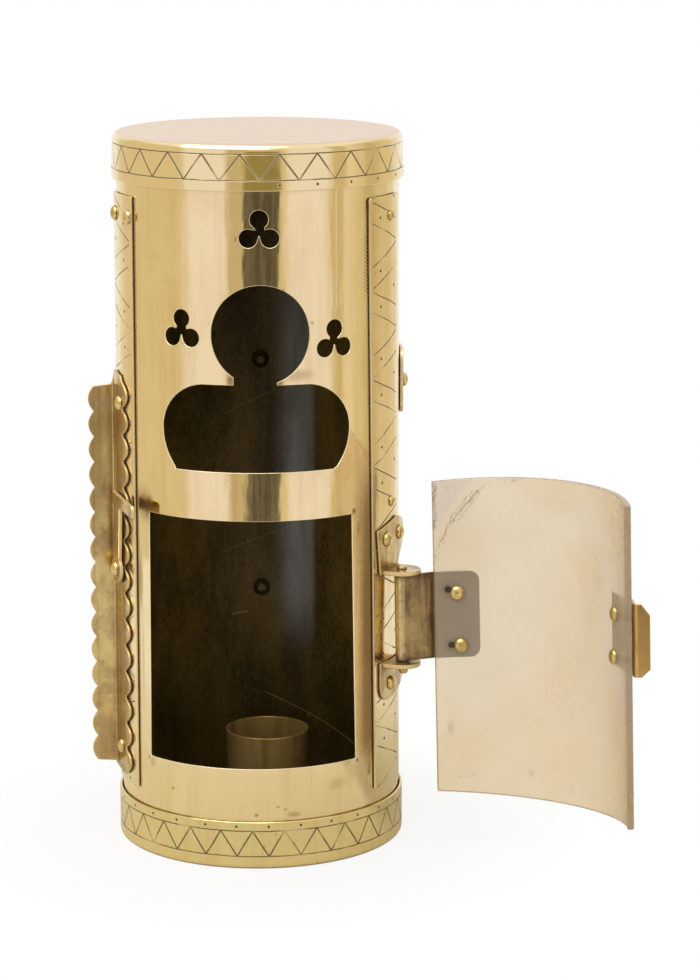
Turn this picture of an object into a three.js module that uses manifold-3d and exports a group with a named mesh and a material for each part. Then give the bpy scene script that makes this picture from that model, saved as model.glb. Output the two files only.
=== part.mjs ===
// Candle lantern of sheet brass with a translucent horn door.
//
// Millimetres, +Z up, origin at the centre of the base's underside. The window faces -Y.
// Angles round the lantern are in degrees from the front (-Y) towards +X, so the door's hinge
// is at the positive side and the latch at the negative side. Outlines that are cut in the
// curved sheets are drawn flat, as (arc length, height), and rolled round the lantern.

import * as THREE from 'three';
import { mergeVertices } from 'three/addons/utils/BufferGeometryUtils.js';
import Module from 'manifold-3d';

const wasm = await Module();
wasm.setup();

// The sizes that can be set, in millimetres and degrees.

const gap = 0.3; // between sheets that lie on one another
const holeClearance = 0.3; // round a rivet's shank
const facets = 96; // flats round the lantern

const height = 253;
const bodyRadius = 49.8;
const bodyWall = 1.0;

const capWall = 0.7;
const capSkirt = 15.8;
const capFlare = 0.6;
const capEdge = 1.6;

const baseWall = 0.9;
const baseFloor = 1.2;
const baseRim = 16.9;
const baseFoot = 1.0;

const sillAboveBase = 18.8;
const windowBridge = 17.1; // between the window and the vent above it
const windowLeftTopAngle = -49.6;
const windowLeftBottomAngle = -50.2;
const windowRightTopAngle = 40.7;
const windowRightBottomAngle = 42.6;

const headHoleAngle = 1.5;
const headHoleDrop = 65.1; // below the lantern's top
const headHoleRadius = 17.1;
const bustAngle = -0.6;
const bustDrop = 17.2; // below the head's centre
const bustHeight = 30.2;
const bustWidth = 69.7;
const bustFootWidth = 57.2;
const shoulderFlat = 34.8;
const neckWidth = 14.8;

const trefoilLobe = 3.15;
const trefoilReach = 4.3;
const trefoilAngles = [1.2, -31.2, 32.3];
const trefoilRises = [35.3, 0.7, -3.1]; // above the head's centre

const stripSheet = 0.7;
const stripAboveBase = 5.5;
const stripBelowCap = 4.6;
const stripRivetDrop = 7.2;
const leftStripFrontAngle = -57.5;
const leftStripBackAngle = -80.5;
const rightStripFrontAngle = 50.5;
const rightStripSpanAngle = 24;
const rightStripTiltAngle = -5.7; // degrees gained by the strip's angle from bottom to top

const shankRadius = 1.2;
const rivetHead = 2.1;
const rivetDome = 1.2;
const rivetTail = 1.8;
const rivetFacets = 10;
const rivetTailHeight = 0.7;
const doorRivetDome = 1.0;

const keeperSheet = 0.9;
const keeperRise = 3.1; // above the strip's lower end
const keeperHeight = 144.5;
const keeperRivetInset = 10.3;
const keeperFrontAngle = -60.2;
const keeperCorner = 3;
const finAngle = -79.5;
const finReach = 9.0;
const finInsetBelow = 2.5;
const finInsetAbove = 6;
const scallopPitch = 9.33;
const flangeScallopDepth = 4.4;
const finScallopDepth = 1.9;

const latchAngle = -70.2;
const latchHeight = 99.8;
const latchLeanAngle = 4;
const latchSheet = 1.4;
const latchStem = 6.6;
const latchBoss = 5;
const latchPlay = 5.1; // between the pull tab's wing and the hook
const latchHead = 4.4;
const latchHook = 14.4;
const latchHeel = 2.8;
const latchCorner = 1;
const latchRivetHead = 2.3;
const latchRivetDome = 1.5;

const hingeAngle = 63.9;
const pinStandOff = 2.03; // from the horn's outer face to the pin's centre
const pinRadius = 1.3;
const pinClearance = 0.2;
const pinHead = 1.9;
const pinHeadHeight = 1.0;
const pinTail = 2.6;
const pinTailSwell = 0.4;
const earSheet = 1.5;
const leafSheet = 0.8;
const earRadius = 6.5;
const earFrontAngle = 55.4;
const earClearance = 0.5; // above and below the strap
const leafMargin = 5.2; // from a rivet to the leaf's rounded edge
const upperEarRivetRise = 11.1;
const lowerEarRivetDrop = 8.9;
const upperLeafFoot = 12.1;
const upperLeafFront = 16;
const upperLeafFrontAngle = 53.4;
const upperLeafRise = 19.1;
const upperLeafPeakAngle = 70;
const lowerLeafBack = 15.5;
const strapBottom = 68.1;
const strapHeight = 30.9;
const strapSheet = 1.2;
const strapEndAngle = 35.2;
const strapCorner = 3.5;
const strapRivetInset = 6;
const barrelSweepAngle = 290;

const hornClearance = 1.0; // over the strips, with the door shut
const hornSheet = 2.3;
const hornLapBelow = 15.5;
const hornLapAbove = 8.2;
const hornTopBow = 1.4;
const hornBottomBow = 2.6;
const hornFreeAngle = -51.5;
const hornHingeAngle = 52.5;
const doorOpenAngle = 138.5;
// How far the hinge pin stands out of plumb, towards +X and +Y.
const pinLeanAngles = [-0.93, 0.6];

const tabSheet = 1.2;
const tabBottom = 72.7;
const tabHeight = 25.2;
const tabFlangeEndAngle = -27.5;
const tabReach = 5.8;
const tabBevel = 3.9;
const tabRivetInset = 6.2;

const bandHeight = 24;
const bandSheet = 1.2;
const bandCorner = 5;
const bandRivetInsetAngle = 4; // degrees from its ends
const bandRightEndAngle = 88;
const bandLeftEndAngle = 264;

const handleWidth = 18;
const handleSheet = 1.8;
const handleReach = 32;
const handleTopRivet = 163.2;
const handleRivetSpacing = 86.5;
const handleFoot = 9;
const handleBend = 14;
const washerRadius = 3.1;
const washerSheet = 0.8;

const cupOffset = 2.3;
const cupHeight = 35;
const cupRimRadius = 15;
const cupFootRadius = 13.6;
const cupWall = 0.9;
const cupRivetHead = 2.6;

// Radii and heights that follow from them. Sheets that lie on one another are a gap apart.

const bodyInner = bodyRadius - bodyWall;
const bodyBottom = baseFloor + gap;
const bodyTop = height - capWall - gap;
const capInner = bodyRadius + gap;
const baseInner = bodyRadius + gap;
const stripInner = bodyRadius + gap;
const stripOuter = stripInner + stripSheet;
const flangeInner = stripOuter + gap;
const keeperOuter = flangeInner + keeperSheet;
const leafOuter = flangeInner + leafSheet;
const hornInner = stripOuter + hornClearance;
const hornOuter = hornInner + hornSheet;
const strapInner = hornOuter + gap;
const strapOuter = strapInner + strapSheet;
const tabInner = hornOuter + gap;
const tabOuter = tabInner + tabSheet;
const latchInner = keeperOuter + gap;
const bandInner = bodyRadius + gap;
const bandOuter = bandInner + bandSheet;
const shankHole = shankRadius + holeClearance;
const pinHole = pinRadius + pinClearance;
const hingeRadius = hornOuter + pinStandOff;
const capRim = height - capSkirt;
const stripBottom = baseRim + stripAboveBase;
const stripTop = capRim - stripBelowCap;
const headHoleHeight = height - headHoleDrop;
const bustTop = headHoleHeight - bustDrop;
const bustBottom = bustTop - bustHeight;
const windowSill = baseRim + sillAboveBase;
const windowTop = bustBottom - windowBridge;
const keeperBottom = stripBottom + keeperRise;
const keeperTop = keeperBottom + keeperHeight;
const finBottom = keeperBottom + finInsetBelow;
const finTop = keeperTop - finInsetAbove;
const strapTop = strapBottom + strapHeight;
const upperEarBottom = strapTop + earClearance;
const lowerEarTop = strapBottom - earClearance;
const hornBottom = windowSill - hornLapBelow;
const hornTop = windowTop + hornLapAbove;
const tabTop = tabBottom + tabHeight;
const bandBottom = handleTopRivet - bandHeight / 2 + 0.6;
const handleBottomRivet = handleTopRivet - handleRivetSpacing;
const cupBottom = baseFloor + gap;

// Rivet places as [angle, height].
const leftStripRivets = [-61.3, -76.3].map((angle) => [angle, stripTop - stripRivetDrop]);
const rightStripRivets = [[65, stripTop - stripRivetDrop], [66.2, strapTop + strapHeight * 0.82]];
const rightStripPunch = [53.7, stripTop - stripRivetDrop * 0.83];
const keeperRivets = [
  [-68.8, keeperTop - keeperRivetInset * 1.04],
  [-71.3, keeperBottom + keeperRivetInset * 0.91],
];
const upperEarRivets = [
  [59.9, upperEarBottom + upperEarRivetRise * 1.11],
  [72.2, upperEarBottom + upperEarRivetRise * 1.15],
];
const lowerEarRivets = [[63.3, lowerEarTop - lowerEarRivetDrop * 0.92]];
const strapRivets = [
  [43.7, strapTop - strapRivetInset * 1.22],
  [42.5, strapBottom + strapRivetInset * 0.77],
];
const strapSpareHoles = [
  [47.3, strapTop - strapRivetInset],
  [46.3, strapBottom + strapRivetInset * 0.82],
];
const tabRivets = [[-32.4, tabTop - tabRivetInset * 1.1], [-31.2, tabBottom + tabRivetInset * 0.52]];
const bandRivets = [bandRightEndAngle + bandRivetInsetAngle, bandLeftEndAngle - bandRivetInsetAngle]
  .map((angle) => [angle, bandBottom + bandHeight / 2]);
const handleRivets = [[180, handleTopRivet], [180, handleBottomRivet]];
const spareHoleRadius = 0.9;

// Geometry helpers.

const radians = THREE.MathUtils.degToRad;

// A closed three.js geometry as a solid that can be cut and joined.
function solid(geometry) {
  const bare = geometry.clone();
  bare.deleteAttribute('normal');
  bare.deleteAttribute('uv');
  const merged = mergeVertices(bare, 1e-4);
  return new wasm.Manifold(new wasm.Mesh({
    numProp: 3,
    vertProperties: new Float32Array(merged.attributes.position.array),
    triVerts: new Uint32Array(merged.index.array),
  }));
}

function geometryOf(body) {
  const mesh = body.getMesh();
  const geometry = new THREE.BufferGeometry();
  geometry.setAttribute('position', new THREE.BufferAttribute(mesh.vertProperties, 3));
  geometry.setIndex(new THREE.BufferAttribute(mesh.triVerts, 1));
  geometry.computeVertexNormals();
  return geometry;
}

function onLantern(angle, radius, z) {
  const a = radians(angle);
  return new THREE.Vector3(radius * Math.sin(a), -radius * Math.cos(a), z);
}

// Axes of a place on the lantern: x along the round, y up, z outwards.
function placeOnLantern(angle, radius, z) {
  const a = radians(angle);
  const along = new THREE.Vector3(Math.cos(a), Math.sin(a), 0);
  const outwards = new THREE.Vector3(Math.sin(a), -Math.cos(a), 0);
  const frame = new THREE.Matrix4().makeBasis(along, new THREE.Vector3(0, 0, 1), outwards);
  return frame.setPosition(onLantern(angle, radius, z));
}

// A lathe turned to +Z; the profile is a closed list of [radius, height].
function turned(profile, segments) {
  const points = profile.map(([r, z]) => new THREE.Vector2(r, z));
  return new THREE.LatheGeometry(points, segments).rotateX(Math.PI / 2);
}

function shell(innerRadius, outerRadius, bottom, top) {
  return solid(turned([
    [innerRadius, bottom],
    [outerRadius, bottom],
    [outerRadius, top],
    [innerRadius, top],
    [innerRadius, bottom],
  ], facets));
}

function extruded(shape, depth, curveSegments = 8) {
  return new THREE.ExtrudeGeometry(shape, { depth, bevelEnabled: false, curveSegments });
}

// A solid with radial sides whose cross-section at the body's surface is the given outline of
// [arc length, height] points, so that cutting or keeping with it works like a saw held square
// to the curved sheet. A triangulation of the outline closes both ends, the far one beyond every
// sheet however wide the outline is.
function radialBlock(outline) {
  const flat = outline.map(([s, z]) => new THREE.Vector2(s, z));
  if (THREE.ShapeUtils.isClockWise(flat)) flat.reverse();
  const lengths = flat.map(({ x }) => x);
  const halfSpan = (Math.max(...lengths) - Math.min(...lengths)) / 2 / bodyRadius;
  const nearRadius = bodyRadius * 0.5;
  const farRadius = bodyRadius * 1.25 / Math.cos(halfSpan);
  const faces = THREE.ShapeUtils.triangulateShape(flat, []);
  const count = flat.length;
  const positions = [];
  for (const radius of [nearRadius, farRadius]) {
    for (const { x, y } of flat) {
      const a = x / bodyRadius;
      positions.push(radius * Math.sin(a), -radius * Math.cos(a), y);
    }
  }
  const index = [];
  for (const [a, b, c] of faces) {
    index.push(count + a, count + b, count + c);
    index.push(a, c, b);
  }
  for (let i = 0; i < count; i += 1) {
    const j = (i + 1) % count;
    index.push(i, j, count + j);
    index.push(i, count + j, count + i);
  }
  const geometry = new THREE.BufferGeometry();
  geometry.setAttribute('position', new THREE.Float32BufferAttribute(positions, 3));
  geometry.setIndex(index);
  return solid(geometry);
}

// A flat plate in the upright plane through the lantern's axis, drawn as (distance, height).
function radialPlate(shape, angle, sheet) {
  const outwards = onLantern(angle, 1, 0);
  const up = new THREE.Vector3(0, 0, 1);
  const across = new THREE.Vector3().crossVectors(outwards, up);
  const plate = extruded(shape, sheet).translate(0, 0, -sheet / 2);
  return plate.applyMatrix4(new THREE.Matrix4().makeBasis(outwards, up, across));
}

// The flat drawing's arc length of an angle, and the outline of a shape drawn flat.
const arc = (angle) => radians(angle) * bodyRadius;
const outlineOf = (shape, divisions) => shape.getPoints(divisions).map(({ x, y }) => [x, y]);

// A round peg that stands square to the lantern's surface, as a drill does.
function peg([angle, z], radius, from, to) {
  const rod = new THREE.CylinderGeometry(radius, radius, to - from, rivetFacets);
  rod.rotateX(Math.PI / 2).translate(0, 0, (from + to) / 2);
  return solid(rod.applyMatrix4(placeOnLantern(angle, 0, z)));
}

function drill(body, places, radius, from = bodyRadius * 0.8, to = hornOuter * 1.2) {
  return places.reduce((left, place) => left.subtract(peg(place, radius, from, to)), body);
}

// A rivet along +Z: a domed head above headSeat, a shank, and a hammered tail below tailSeat.
function rivetGeometry(headSeat, tailSeat, head = rivetHead, dome = rivetDome, tail = rivetTail) {
  const profile = [[0, headSeat + dome]];
  for (const turn of [0.45, 0.8]) {
    const a = turn * Math.PI / 2;
    profile.push([head * Math.sin(a), headSeat + dome * Math.cos(a)]);
  }
  profile.push([head, headSeat]);
  profile.push([shankRadius, headSeat]);
  profile.push([shankRadius, tailSeat]);
  profile.push([tail, tailSeat]);
  profile.push([tail * 0.6, tailSeat - rivetTailHeight]);
  profile.push([0, tailSeat - rivetTailHeight]);
  return turned(profile.reverse(), rivetFacets);
}

// A strip of sheet whose middle follows the given points in a plane, as a closed shape.
function ribbonShape(middle, sheet) {
  const left = [];
  const right = [];
  middle.forEach((point, i) => {
    const before = middle[Math.max(i - 1, 0)];
    const after = middle[Math.min(i + 1, middle.length - 1)];
    const into = new THREE.Vector2().subVectors(i ? point : after, i ? before : point).normalize();
    const out = new THREE.Vector2().subVectors(after, point);
    if (out.length() > 0) out.normalize();
    else out.copy(into);
    const along = into.clone().add(out).normalize();
    const reach = sheet / 2 / Math.max(along.dot(into), 0.5);
    left.push(new THREE.Vector2(point.x - along.y * reach, point.y + along.x * reach));
    right.push(new THREE.Vector2(point.x + along.y * reach, point.y - along.x * reach));
  });
  return new THREE.Shape([...left, ...right.reverse()]);
}

function arcPoints(centre, radius, from, to, steps) {
  const points = [];
  for (let i = 0; i <= steps; i += 1) {
    const a = radians(from + (to - from) * i / steps);
    points.push(new THREE.Vector2(centre.x + radius * Math.cos(a), centre.y + radius * Math.sin(a)));
  }
  return points;
}

// Finishes, and the groups that move.

const finish = (color, roughness, metalness = 1) => (
  new THREE.MeshStandardMaterial({ color, roughness, metalness })
);
const paleBrass = finish(0xd9bd7c, 0.22);
const stripBrass = finish(0xcdb06c, 0.32);
const wornBrass = finish(0xa8873f, 0.42);
const darkBrass = finish(0x7d6236, 0.5);
const rivetBrass = finish(0xd3b053, 0.25);
const horn = finish(0xdcc3a2, 0.35, 0);

const lantern = new THREE.Group();
const body = new THREE.Group();
const cap = new THREE.Group();
const latch = new THREE.Group();
const door = new THREE.Group();
lantern.add(body, cap, latch, door);

function addMesh(parent, name, geometry, material) {
  const mesh = new THREE.Mesh(geometry, material);
  mesh.name = name;
  parent.add(mesh);
  return mesh;
}

// Like pieces set square to the lantern at several places, numbered from 1.
function addAround(parent, name, places, geometry, material) {
  places.forEach(([angle, z], i) => {
    const mesh = addMesh(parent, `${name}_${i + 1}`, geometry, material);
    mesh.applyMatrix4(placeOnLantern(angle, 0, z));
  });
}

// The body tube and its cut-outs.

function windowOutline() {
  return [
    [arc(windowLeftBottomAngle), windowSill],
    [arc(windowRightBottomAngle), windowSill],
    [arc(windowRightTopAngle), windowTop],
    [arc(windowLeftTopAngle), windowTop],
  ];
}

// The lower half of the keyhole vent: flat foot, tapering sides, rounded shoulders and a neck.
function bustOutline() {
  const centre = arc(bustAngle);
  const half = bustWidth / 2;
  const shoulderDrop = half - shoulderFlat / 2;
  const widest = bustTop - shoulderDrop * 0.92;
  const shape = new THREE.Shape();
  shape.moveTo(centre - bustFootWidth / 2, bustBottom);
  shape.lineTo(centre + bustFootWidth / 2, bustBottom);
  shape.quadraticCurveTo(centre + half * 0.98, (bustBottom + widest) / 2, centre + half, widest);
  shape.bezierCurveTo(
    centre + half, widest + shoulderDrop * 0.5,
    centre + shoulderFlat / 2 + shoulderDrop * 0.5, bustTop,
    centre + shoulderFlat / 2, bustTop,
  );
  shape.lineTo(centre + neckWidth / 2, bustTop);
  shape.lineTo(centre + neckWidth / 2, headHoleHeight);
  shape.lineTo(centre - neckWidth / 2, headHoleHeight);
  shape.lineTo(centre - neckWidth / 2, bustTop);
  shape.lineTo(centre - shoulderFlat / 2, bustTop);
  shape.bezierCurveTo(
    centre - shoulderFlat / 2 - shoulderDrop * 0.5, bustTop,
    centre - half, widest + shoulderDrop * 0.5,
    centre - half, widest,
  );
  shape.quadraticCurveTo(
    centre - half * 0.98, (bustBottom + widest) / 2,
    centre - bustFootWidth / 2, bustBottom,
  );
  return outlineOf(shape, 6);
}

function circleOutline(s, z, radius, segments) {
  return Array.from({ length: segments }, (_, i) => {
    const a = 2 * Math.PI * i / segments;
    return [s + radius * Math.cos(a), z + radius * Math.sin(a)];
  });
}

function cutTrefoil(tube, [angle, z]) {
  const s = arc(angle);
  const middle = circleOutline(s, z, trefoilReach - trefoilLobe * 0.75, 10);
  let left = tube.subtract(radialBlock(middle));
  for (const turn of [90, 210, 330]) {
    const a = radians(turn);
    const lobe = circleOutline(
      s + trefoilReach * Math.cos(a), z + trefoilReach * Math.sin(a), trefoilLobe, 14,
    );
    left = left.subtract(radialBlock(lobe));
  }
  return left;
}

let tube = shell(bodyInner, bodyRadius, bodyBottom, bodyTop);
tube = tube.subtract(radialBlock(windowOutline()));
const headOutline = circleOutline(arc(headHoleAngle), headHoleHeight, headHoleRadius, 32);
tube = tube.subtract(radialBlock(headOutline));
tube = tube.subtract(radialBlock(bustOutline()));
trefoilAngles.forEach((angle, i) => {
  tube = cutTrefoil(tube, [angle, headHoleHeight + trefoilRises[i]]);
});
const bodyRivets = [
  ...leftStripRivets, ...rightStripRivets, ...keeperRivets, [latchAngle, latchHeight],
  ...upperEarRivets, ...lowerEarRivets, ...bandRivets, ...handleRivets,
];
tube = drill(tube, bodyRivets, shankHole);
addMesh(body, 'body_tube', geometryOf(tube), paleBrass);

// A pressed cap: flat top, rounded edge and a skirt that flares slightly to its open rim.
const capOuter = capInner + capWall;
const capProfile = [
  [0, height],
  [capOuter - capEdge, height],
  ...[30, 60].map((turn) => [
    capOuter - capEdge * (1 - Math.sin(radians(turn))),
    height - capEdge * (1 - Math.cos(radians(turn))),
  ]),
  [capOuter, height - capEdge],
  [capOuter + capFlare, capRim],
  [capInner + capFlare, capRim],
  [capInner, height - capWall],
  [0, height - capWall],
];
addMesh(cap, 'cap', turned(capProfile.reverse(), facets), paleBrass);

// A shallow pan that the tube stands in, with a small rounded foot.
const baseOuter = baseInner + baseWall;
const cupRivetHole = shankRadius + holeClearance;
const basePan = solid(turned([
  [0, 0],
  [baseOuter - baseFoot, 0],
  [baseOuter - baseFoot * 0.3, baseFoot * 0.3],
  [baseOuter, baseFoot],
  [baseOuter, baseRim],
  [baseInner, baseRim],
  [baseInner, baseFloor],
  [0, baseFloor],
], facets));
const cupRivetSocket = solid(new THREE.CylinderGeometry(
  cupRivetHole, cupRivetHole, baseFloor * 4, rivetFacets,
).rotateX(Math.PI / 2).translate(cupOffset, 0, 0));
addMesh(body, 'base_pan', geometryOf(basePan.subtract(cupRivetSocket)), paleBrass);

// The candle cup, riveted to the pan.

const cupTop = cupBottom + cupHeight;
const cup = solid(turned([
  [0, cupBottom],
  [cupFootRadius, cupBottom],
  [cupRimRadius, cupTop],
  [cupRimRadius - cupWall, cupTop],
  [cupFootRadius - cupWall, cupBottom + cupWall],
  [0, cupBottom + cupWall],
], 48).translate(cupOffset, 0, 0));
const cupHole = cupRivetSocket.translate([0, 0, cupBottom]);
addMesh(body, 'candle_cup', geometryOf(cup.subtract(cupHole)), darkBrass);

// The cup's rivet: a dome inside the cup and a shank filed flush with the pan's underside.
const cupRivetSeat = cupBottom + cupWall + gap;
const cupRivet = turned([
  [0, gap / 2],
  [shankRadius, gap / 2],
  [shankRadius, cupRivetSeat],
  [cupRivetHead, cupRivetSeat],
  [cupRivetHead * 0.7, cupRivetSeat + rivetDome * 0.7],
  [0, cupRivetSeat + rivetDome],
], rivetFacets);
addMesh(body, 'cup_rivet', cupRivet, darkBrass).position.set(cupOffset, 0, 0);

// Engraved strips down both sides of the window.

function stripBlank(outline) {
  const sheet = shell(stripInner, stripOuter, stripBottom - 1, stripTop + 1);
  return sheet.intersect(radialBlock(outline));
}

const leftStrip = stripBlank([
  [arc(leftStripBackAngle), stripBottom],
  [arc(leftStripFrontAngle), stripBottom],
  [arc(leftStripFrontAngle), stripTop],
  [arc(leftStripBackAngle), stripTop],
]);
const leftHoles = [...leftStripRivets, ...keeperRivets, [latchAngle, latchHeight]];
addMesh(body, 'left_strip', geometryOf(drill(leftStrip, leftHoles, shankHole)), stripBrass);

// The right strip is nailed on a few degrees out of true.
const rightTop = rightStripFrontAngle + rightStripTiltAngle / 2;
const rightBottom = rightStripFrontAngle - rightStripTiltAngle / 2;
const rightStrip = stripBlank([
  [arc(rightBottom), stripBottom],
  [arc(rightBottom + rightStripSpanAngle), stripBottom],
  [arc(rightTop + rightStripSpanAngle), stripTop],
  [arc(rightTop), stripTop],
]);
const rightHoles = [
  ...rightStripRivets,
  ...upperEarRivets,
  ...lowerEarRivets,
];
let rightStripSolid = drill(rightStrip, rightHoles, shankHole);
rightStripSolid = drill(rightStripSolid, [rightStripPunch], spareHoleRadius);
addMesh(body, 'right_strip', geometryOf(rightStripSolid), stripBrass);

const tailSeat = bodyInner - gap;
const stripHeadSeat = stripOuter + gap;
const stripRivet = rivetGeometry(stripHeadSeat, tailSeat);
addAround(body, 'left_strip_rivet', leftStripRivets, stripRivet, rivetBrass);
addAround(body, 'right_strip_rivet', rightStripRivets, stripRivet, rivetBrass);

// The keeper: a scalloped angle bar beside the latch.

// Points along a scalloped edge that runs up from bottom to top. The crests lie near zero and the
// notches between them reach their depth inwards.
function scallopedEdge(bottom, top, depth) {
  const points = [];
  const count = Math.max(2, Math.round((top - bottom) / scallopPitch));
  const pitch = (top - bottom) / count;
  for (let i = 0; i < count; i += 1) {
    for (const t of [0, 0.18, 0.5, 0.82]) {
      const drop = Math.abs(2 * t - 1);
      points.push([depth * drop * drop, bottom + (i + t) * pitch]);
    }
  }
  points.push([depth, top]);
  return points;
}

const keeperFlangeOutline = [
  [arc(finAngle), keeperTop],
  [arc(finAngle), keeperBottom],
  ...scallopedEdge(keeperBottom, keeperTop - keeperCorner, flangeScallopDepth)
    .map(([drop, z]) => [arc(keeperFrontAngle) - drop, z]),
  [arc(keeperFrontAngle) - flangeScallopDepth - keeperCorner / 2, keeperTop - keeperCorner / 3],
];
const keeperFlange = shell(flangeInner, keeperOuter, keeperBottom - 1, keeperTop + 1)
  .intersect(radialBlock(keeperFlangeOutline));

// The fin stands out square from the lantern along the flange's back edge.
const finShape = new THREE.Shape([
  new THREE.Vector2(flangeInner + keeperSheet / 2, finTop),
  new THREE.Vector2(flangeInner + keeperSheet / 2, finBottom),
  ...scallopedEdge(finBottom, finTop, finScallopDepth).map(([drop, z]) => (
    new THREE.Vector2(keeperOuter + finReach - drop, z)
  )),
]);
let keeper = keeperFlange.add(solid(radialPlate(finShape, finAngle, keeperSheet)));
keeper = drill(keeper, [...keeperRivets, [latchAngle, latchHeight]], shankHole);
addMesh(body, 'keeper_bar', geometryOf(keeper), wornBrass);
addAround(
  body, 'keeper_rivet', keeperRivets, rivetGeometry(keeperOuter + gap, tailSeat), rivetBrass,
);

// The pull tab's wing stands on the door's free edge, and the hook hangs beyond it.
const tabEdge = hornFreeAngle;
const latchLength = tabOuter * Math.sin(radians(tabEdge - latchAngle)) + latchPlay + latchHead;

// A flat hook that turns on its rivet: round boss, straight stem and a head whose long side
// points to the door.
function latchShape() {
  const shape = new THREE.Shape();
  const half = latchStem / 2;
  const start = Math.asin(half / latchBoss);
  shape.absarc(0, 0, latchBoss, Math.PI / 2 + start, Math.PI * 2.5 - start, false);
  shape.lineTo(half, latchLength - latchHead);
  shape.lineTo(half + latchHook, latchLength - latchHead);
  shape.lineTo(half + latchHook, latchLength - latchCorner);
  shape.lineTo(half + latchHook - latchCorner, latchLength);
  shape.lineTo(latchCorner - half - latchHeel, latchLength);
  shape.quadraticCurveTo(
    -half - latchHeel, latchLength, -half - latchHeel, latchLength - latchHead / 2,
  );
  shape.quadraticCurveTo(
    -half - latchHeel, latchLength - latchHead, -half, latchLength - latchHead,
  );
  const hole = new THREE.Path();
  hole.absarc(0, 0, shankHole, 0, 2 * Math.PI, true);
  shape.holes.push(hole);
  return shape;
}

const lever = addMesh(latch, 'latch_lever', extruded(latchShape(), latchSheet, 6), wornBrass);
lever.rotation.z = -radians(latchLeanAngle);
latch.applyMatrix4(placeOnLantern(latchAngle, latchInner, latchHeight));

const latchSeat = latchInner + latchSheet + gap;
const latchRivet = rivetGeometry(latchSeat, tailSeat, latchRivetHead, latchRivetDome);
addMesh(body, 'latch_rivet', latchRivet, rivetBrass)
  .applyMatrix4(placeOnLantern(latchAngle, 0, latchHeight));

// Hinge ears and pin.

const pinCentre = onLantern(hingeAngle, hingeRadius, 0);
const pinMiddle = strapBottom + strapHeight / 2;
const [pinSlopeX, pinSlopeY] = pinLeanAngles.map((angle) => Math.tan(radians(angle)));
const pinAxis = new THREE.Vector3(pinSlopeX, pinSlopeY, 1).normalize();
const pinTurn = new THREE.Quaternion().setFromUnitVectors(new THREE.Vector3(0, 0, 1), pinAxis);

// A round bar along the leaning pin's centre line, to cut its holes with.
const pinBore = solid(new THREE.CylinderGeometry(pinHole, pinHole, strapHeight * 2, 16)
  .rotateX(Math.PI / 2)
  .applyQuaternion(pinTurn)
  .translate(pinCentre.x, pinCentre.y, pinMiddle));

// A flat tongue round the pin, cut back to the leaf that carries it.
function earTongue(bottom) {
  const shape = new THREE.Shape();
  shape.absarc(hingeRadius, 0, earRadius, -Math.PI / 2, Math.PI / 2, false);
  shape.lineTo(bodyRadius, earRadius);
  shape.lineTo(bodyRadius, -earRadius);
  const plate = extruded(shape, earSheet, 8);
  plate.rotateZ(radians(hingeAngle - 90)).translate(0, 0, bottom);
  const room = solid(turned([
    [0, -1], [flangeInner, -1], [flangeInner, height], [0, height],
  ], facets));
  return solid(plate).subtract(room).subtract(pinBore);
}

// The upper leaf rises to a point and spreads back over the second rivet.
const [lobeAngle, lobeHeight] = upperEarRivets.at(-1);
const lobe = arc(lobeAngle);
const upperLeaf = new THREE.Shape();
upperLeaf.moveTo(arc(earFrontAngle), upperEarBottom);
upperLeaf.lineTo(arc(earFrontAngle) + upperLeafFoot, upperEarBottom);
upperLeaf.quadraticCurveTo(
  arc(earFrontAngle) + upperLeafFoot * 1.25, lobeHeight - leafMargin * 1.4,
  lobe + leafMargin, lobeHeight - leafMargin,
);
upperLeaf.quadraticCurveTo(
  lobe + leafMargin * 1.7, lobeHeight,
  lobe + leafMargin * 0.85, lobeHeight + leafMargin * 0.85,
);
upperLeaf.lineTo(arc(upperLeafPeakAngle), upperEarBottom + upperLeafRise);
upperLeaf.lineTo(arc(upperLeafFrontAngle), upperEarBottom + upperLeafFront);

// The lower leaf hangs down to a round end below its rivet.
const [tongueAngle, tongueHeight] = lowerEarRivets.at(-1);
const tongue = arc(tongueAngle);
const lowerLeaf = new THREE.Shape();
lowerLeaf.moveTo(arc(earFrontAngle), lowerEarTop);
lowerLeaf.lineTo(arc(earFrontAngle), tongueHeight);
lowerLeaf.quadraticCurveTo(
  arc(earFrontAngle), tongueHeight - leafMargin,
  tongue - leafMargin / 2, tongueHeight - leafMargin * 1.1,
);
lowerLeaf.quadraticCurveTo(
  tongue + lowerLeafBack * 0.6, tongueHeight - leafMargin,
  tongue + lowerLeafBack, tongueHeight + leafMargin * 0.3,
);
lowerLeaf.lineTo(tongue + lowerLeafBack * 0.87, lowerEarTop);

function hingeEar(leafShape, tongueBottom, rivets) {
  const outline = outlineOf(leafShape, 4);
  const heights = outline.map(([, z]) => z);
  const leaf = shell(flangeInner, leafOuter, Math.min(...heights) - 1, Math.max(...heights) + 1)
    .intersect(radialBlock(outline));
  return geometryOf(drill(leaf.add(earTongue(tongueBottom)), rivets, shankHole));
}

addMesh(body, 'hinge_ear_upper', hingeEar(upperLeaf, upperEarBottom, upperEarRivets), wornBrass);
addMesh(
  body, 'hinge_ear_lower', hingeEar(lowerLeaf, lowerEarTop - earSheet, lowerEarRivets), wornBrass,
);
const earRivet = rivetGeometry(leafOuter + gap, tailSeat);
addAround(body, 'hinge_ear_rivet', [...upperEarRivets, ...lowerEarRivets], earRivet, rivetBrass);

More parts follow.
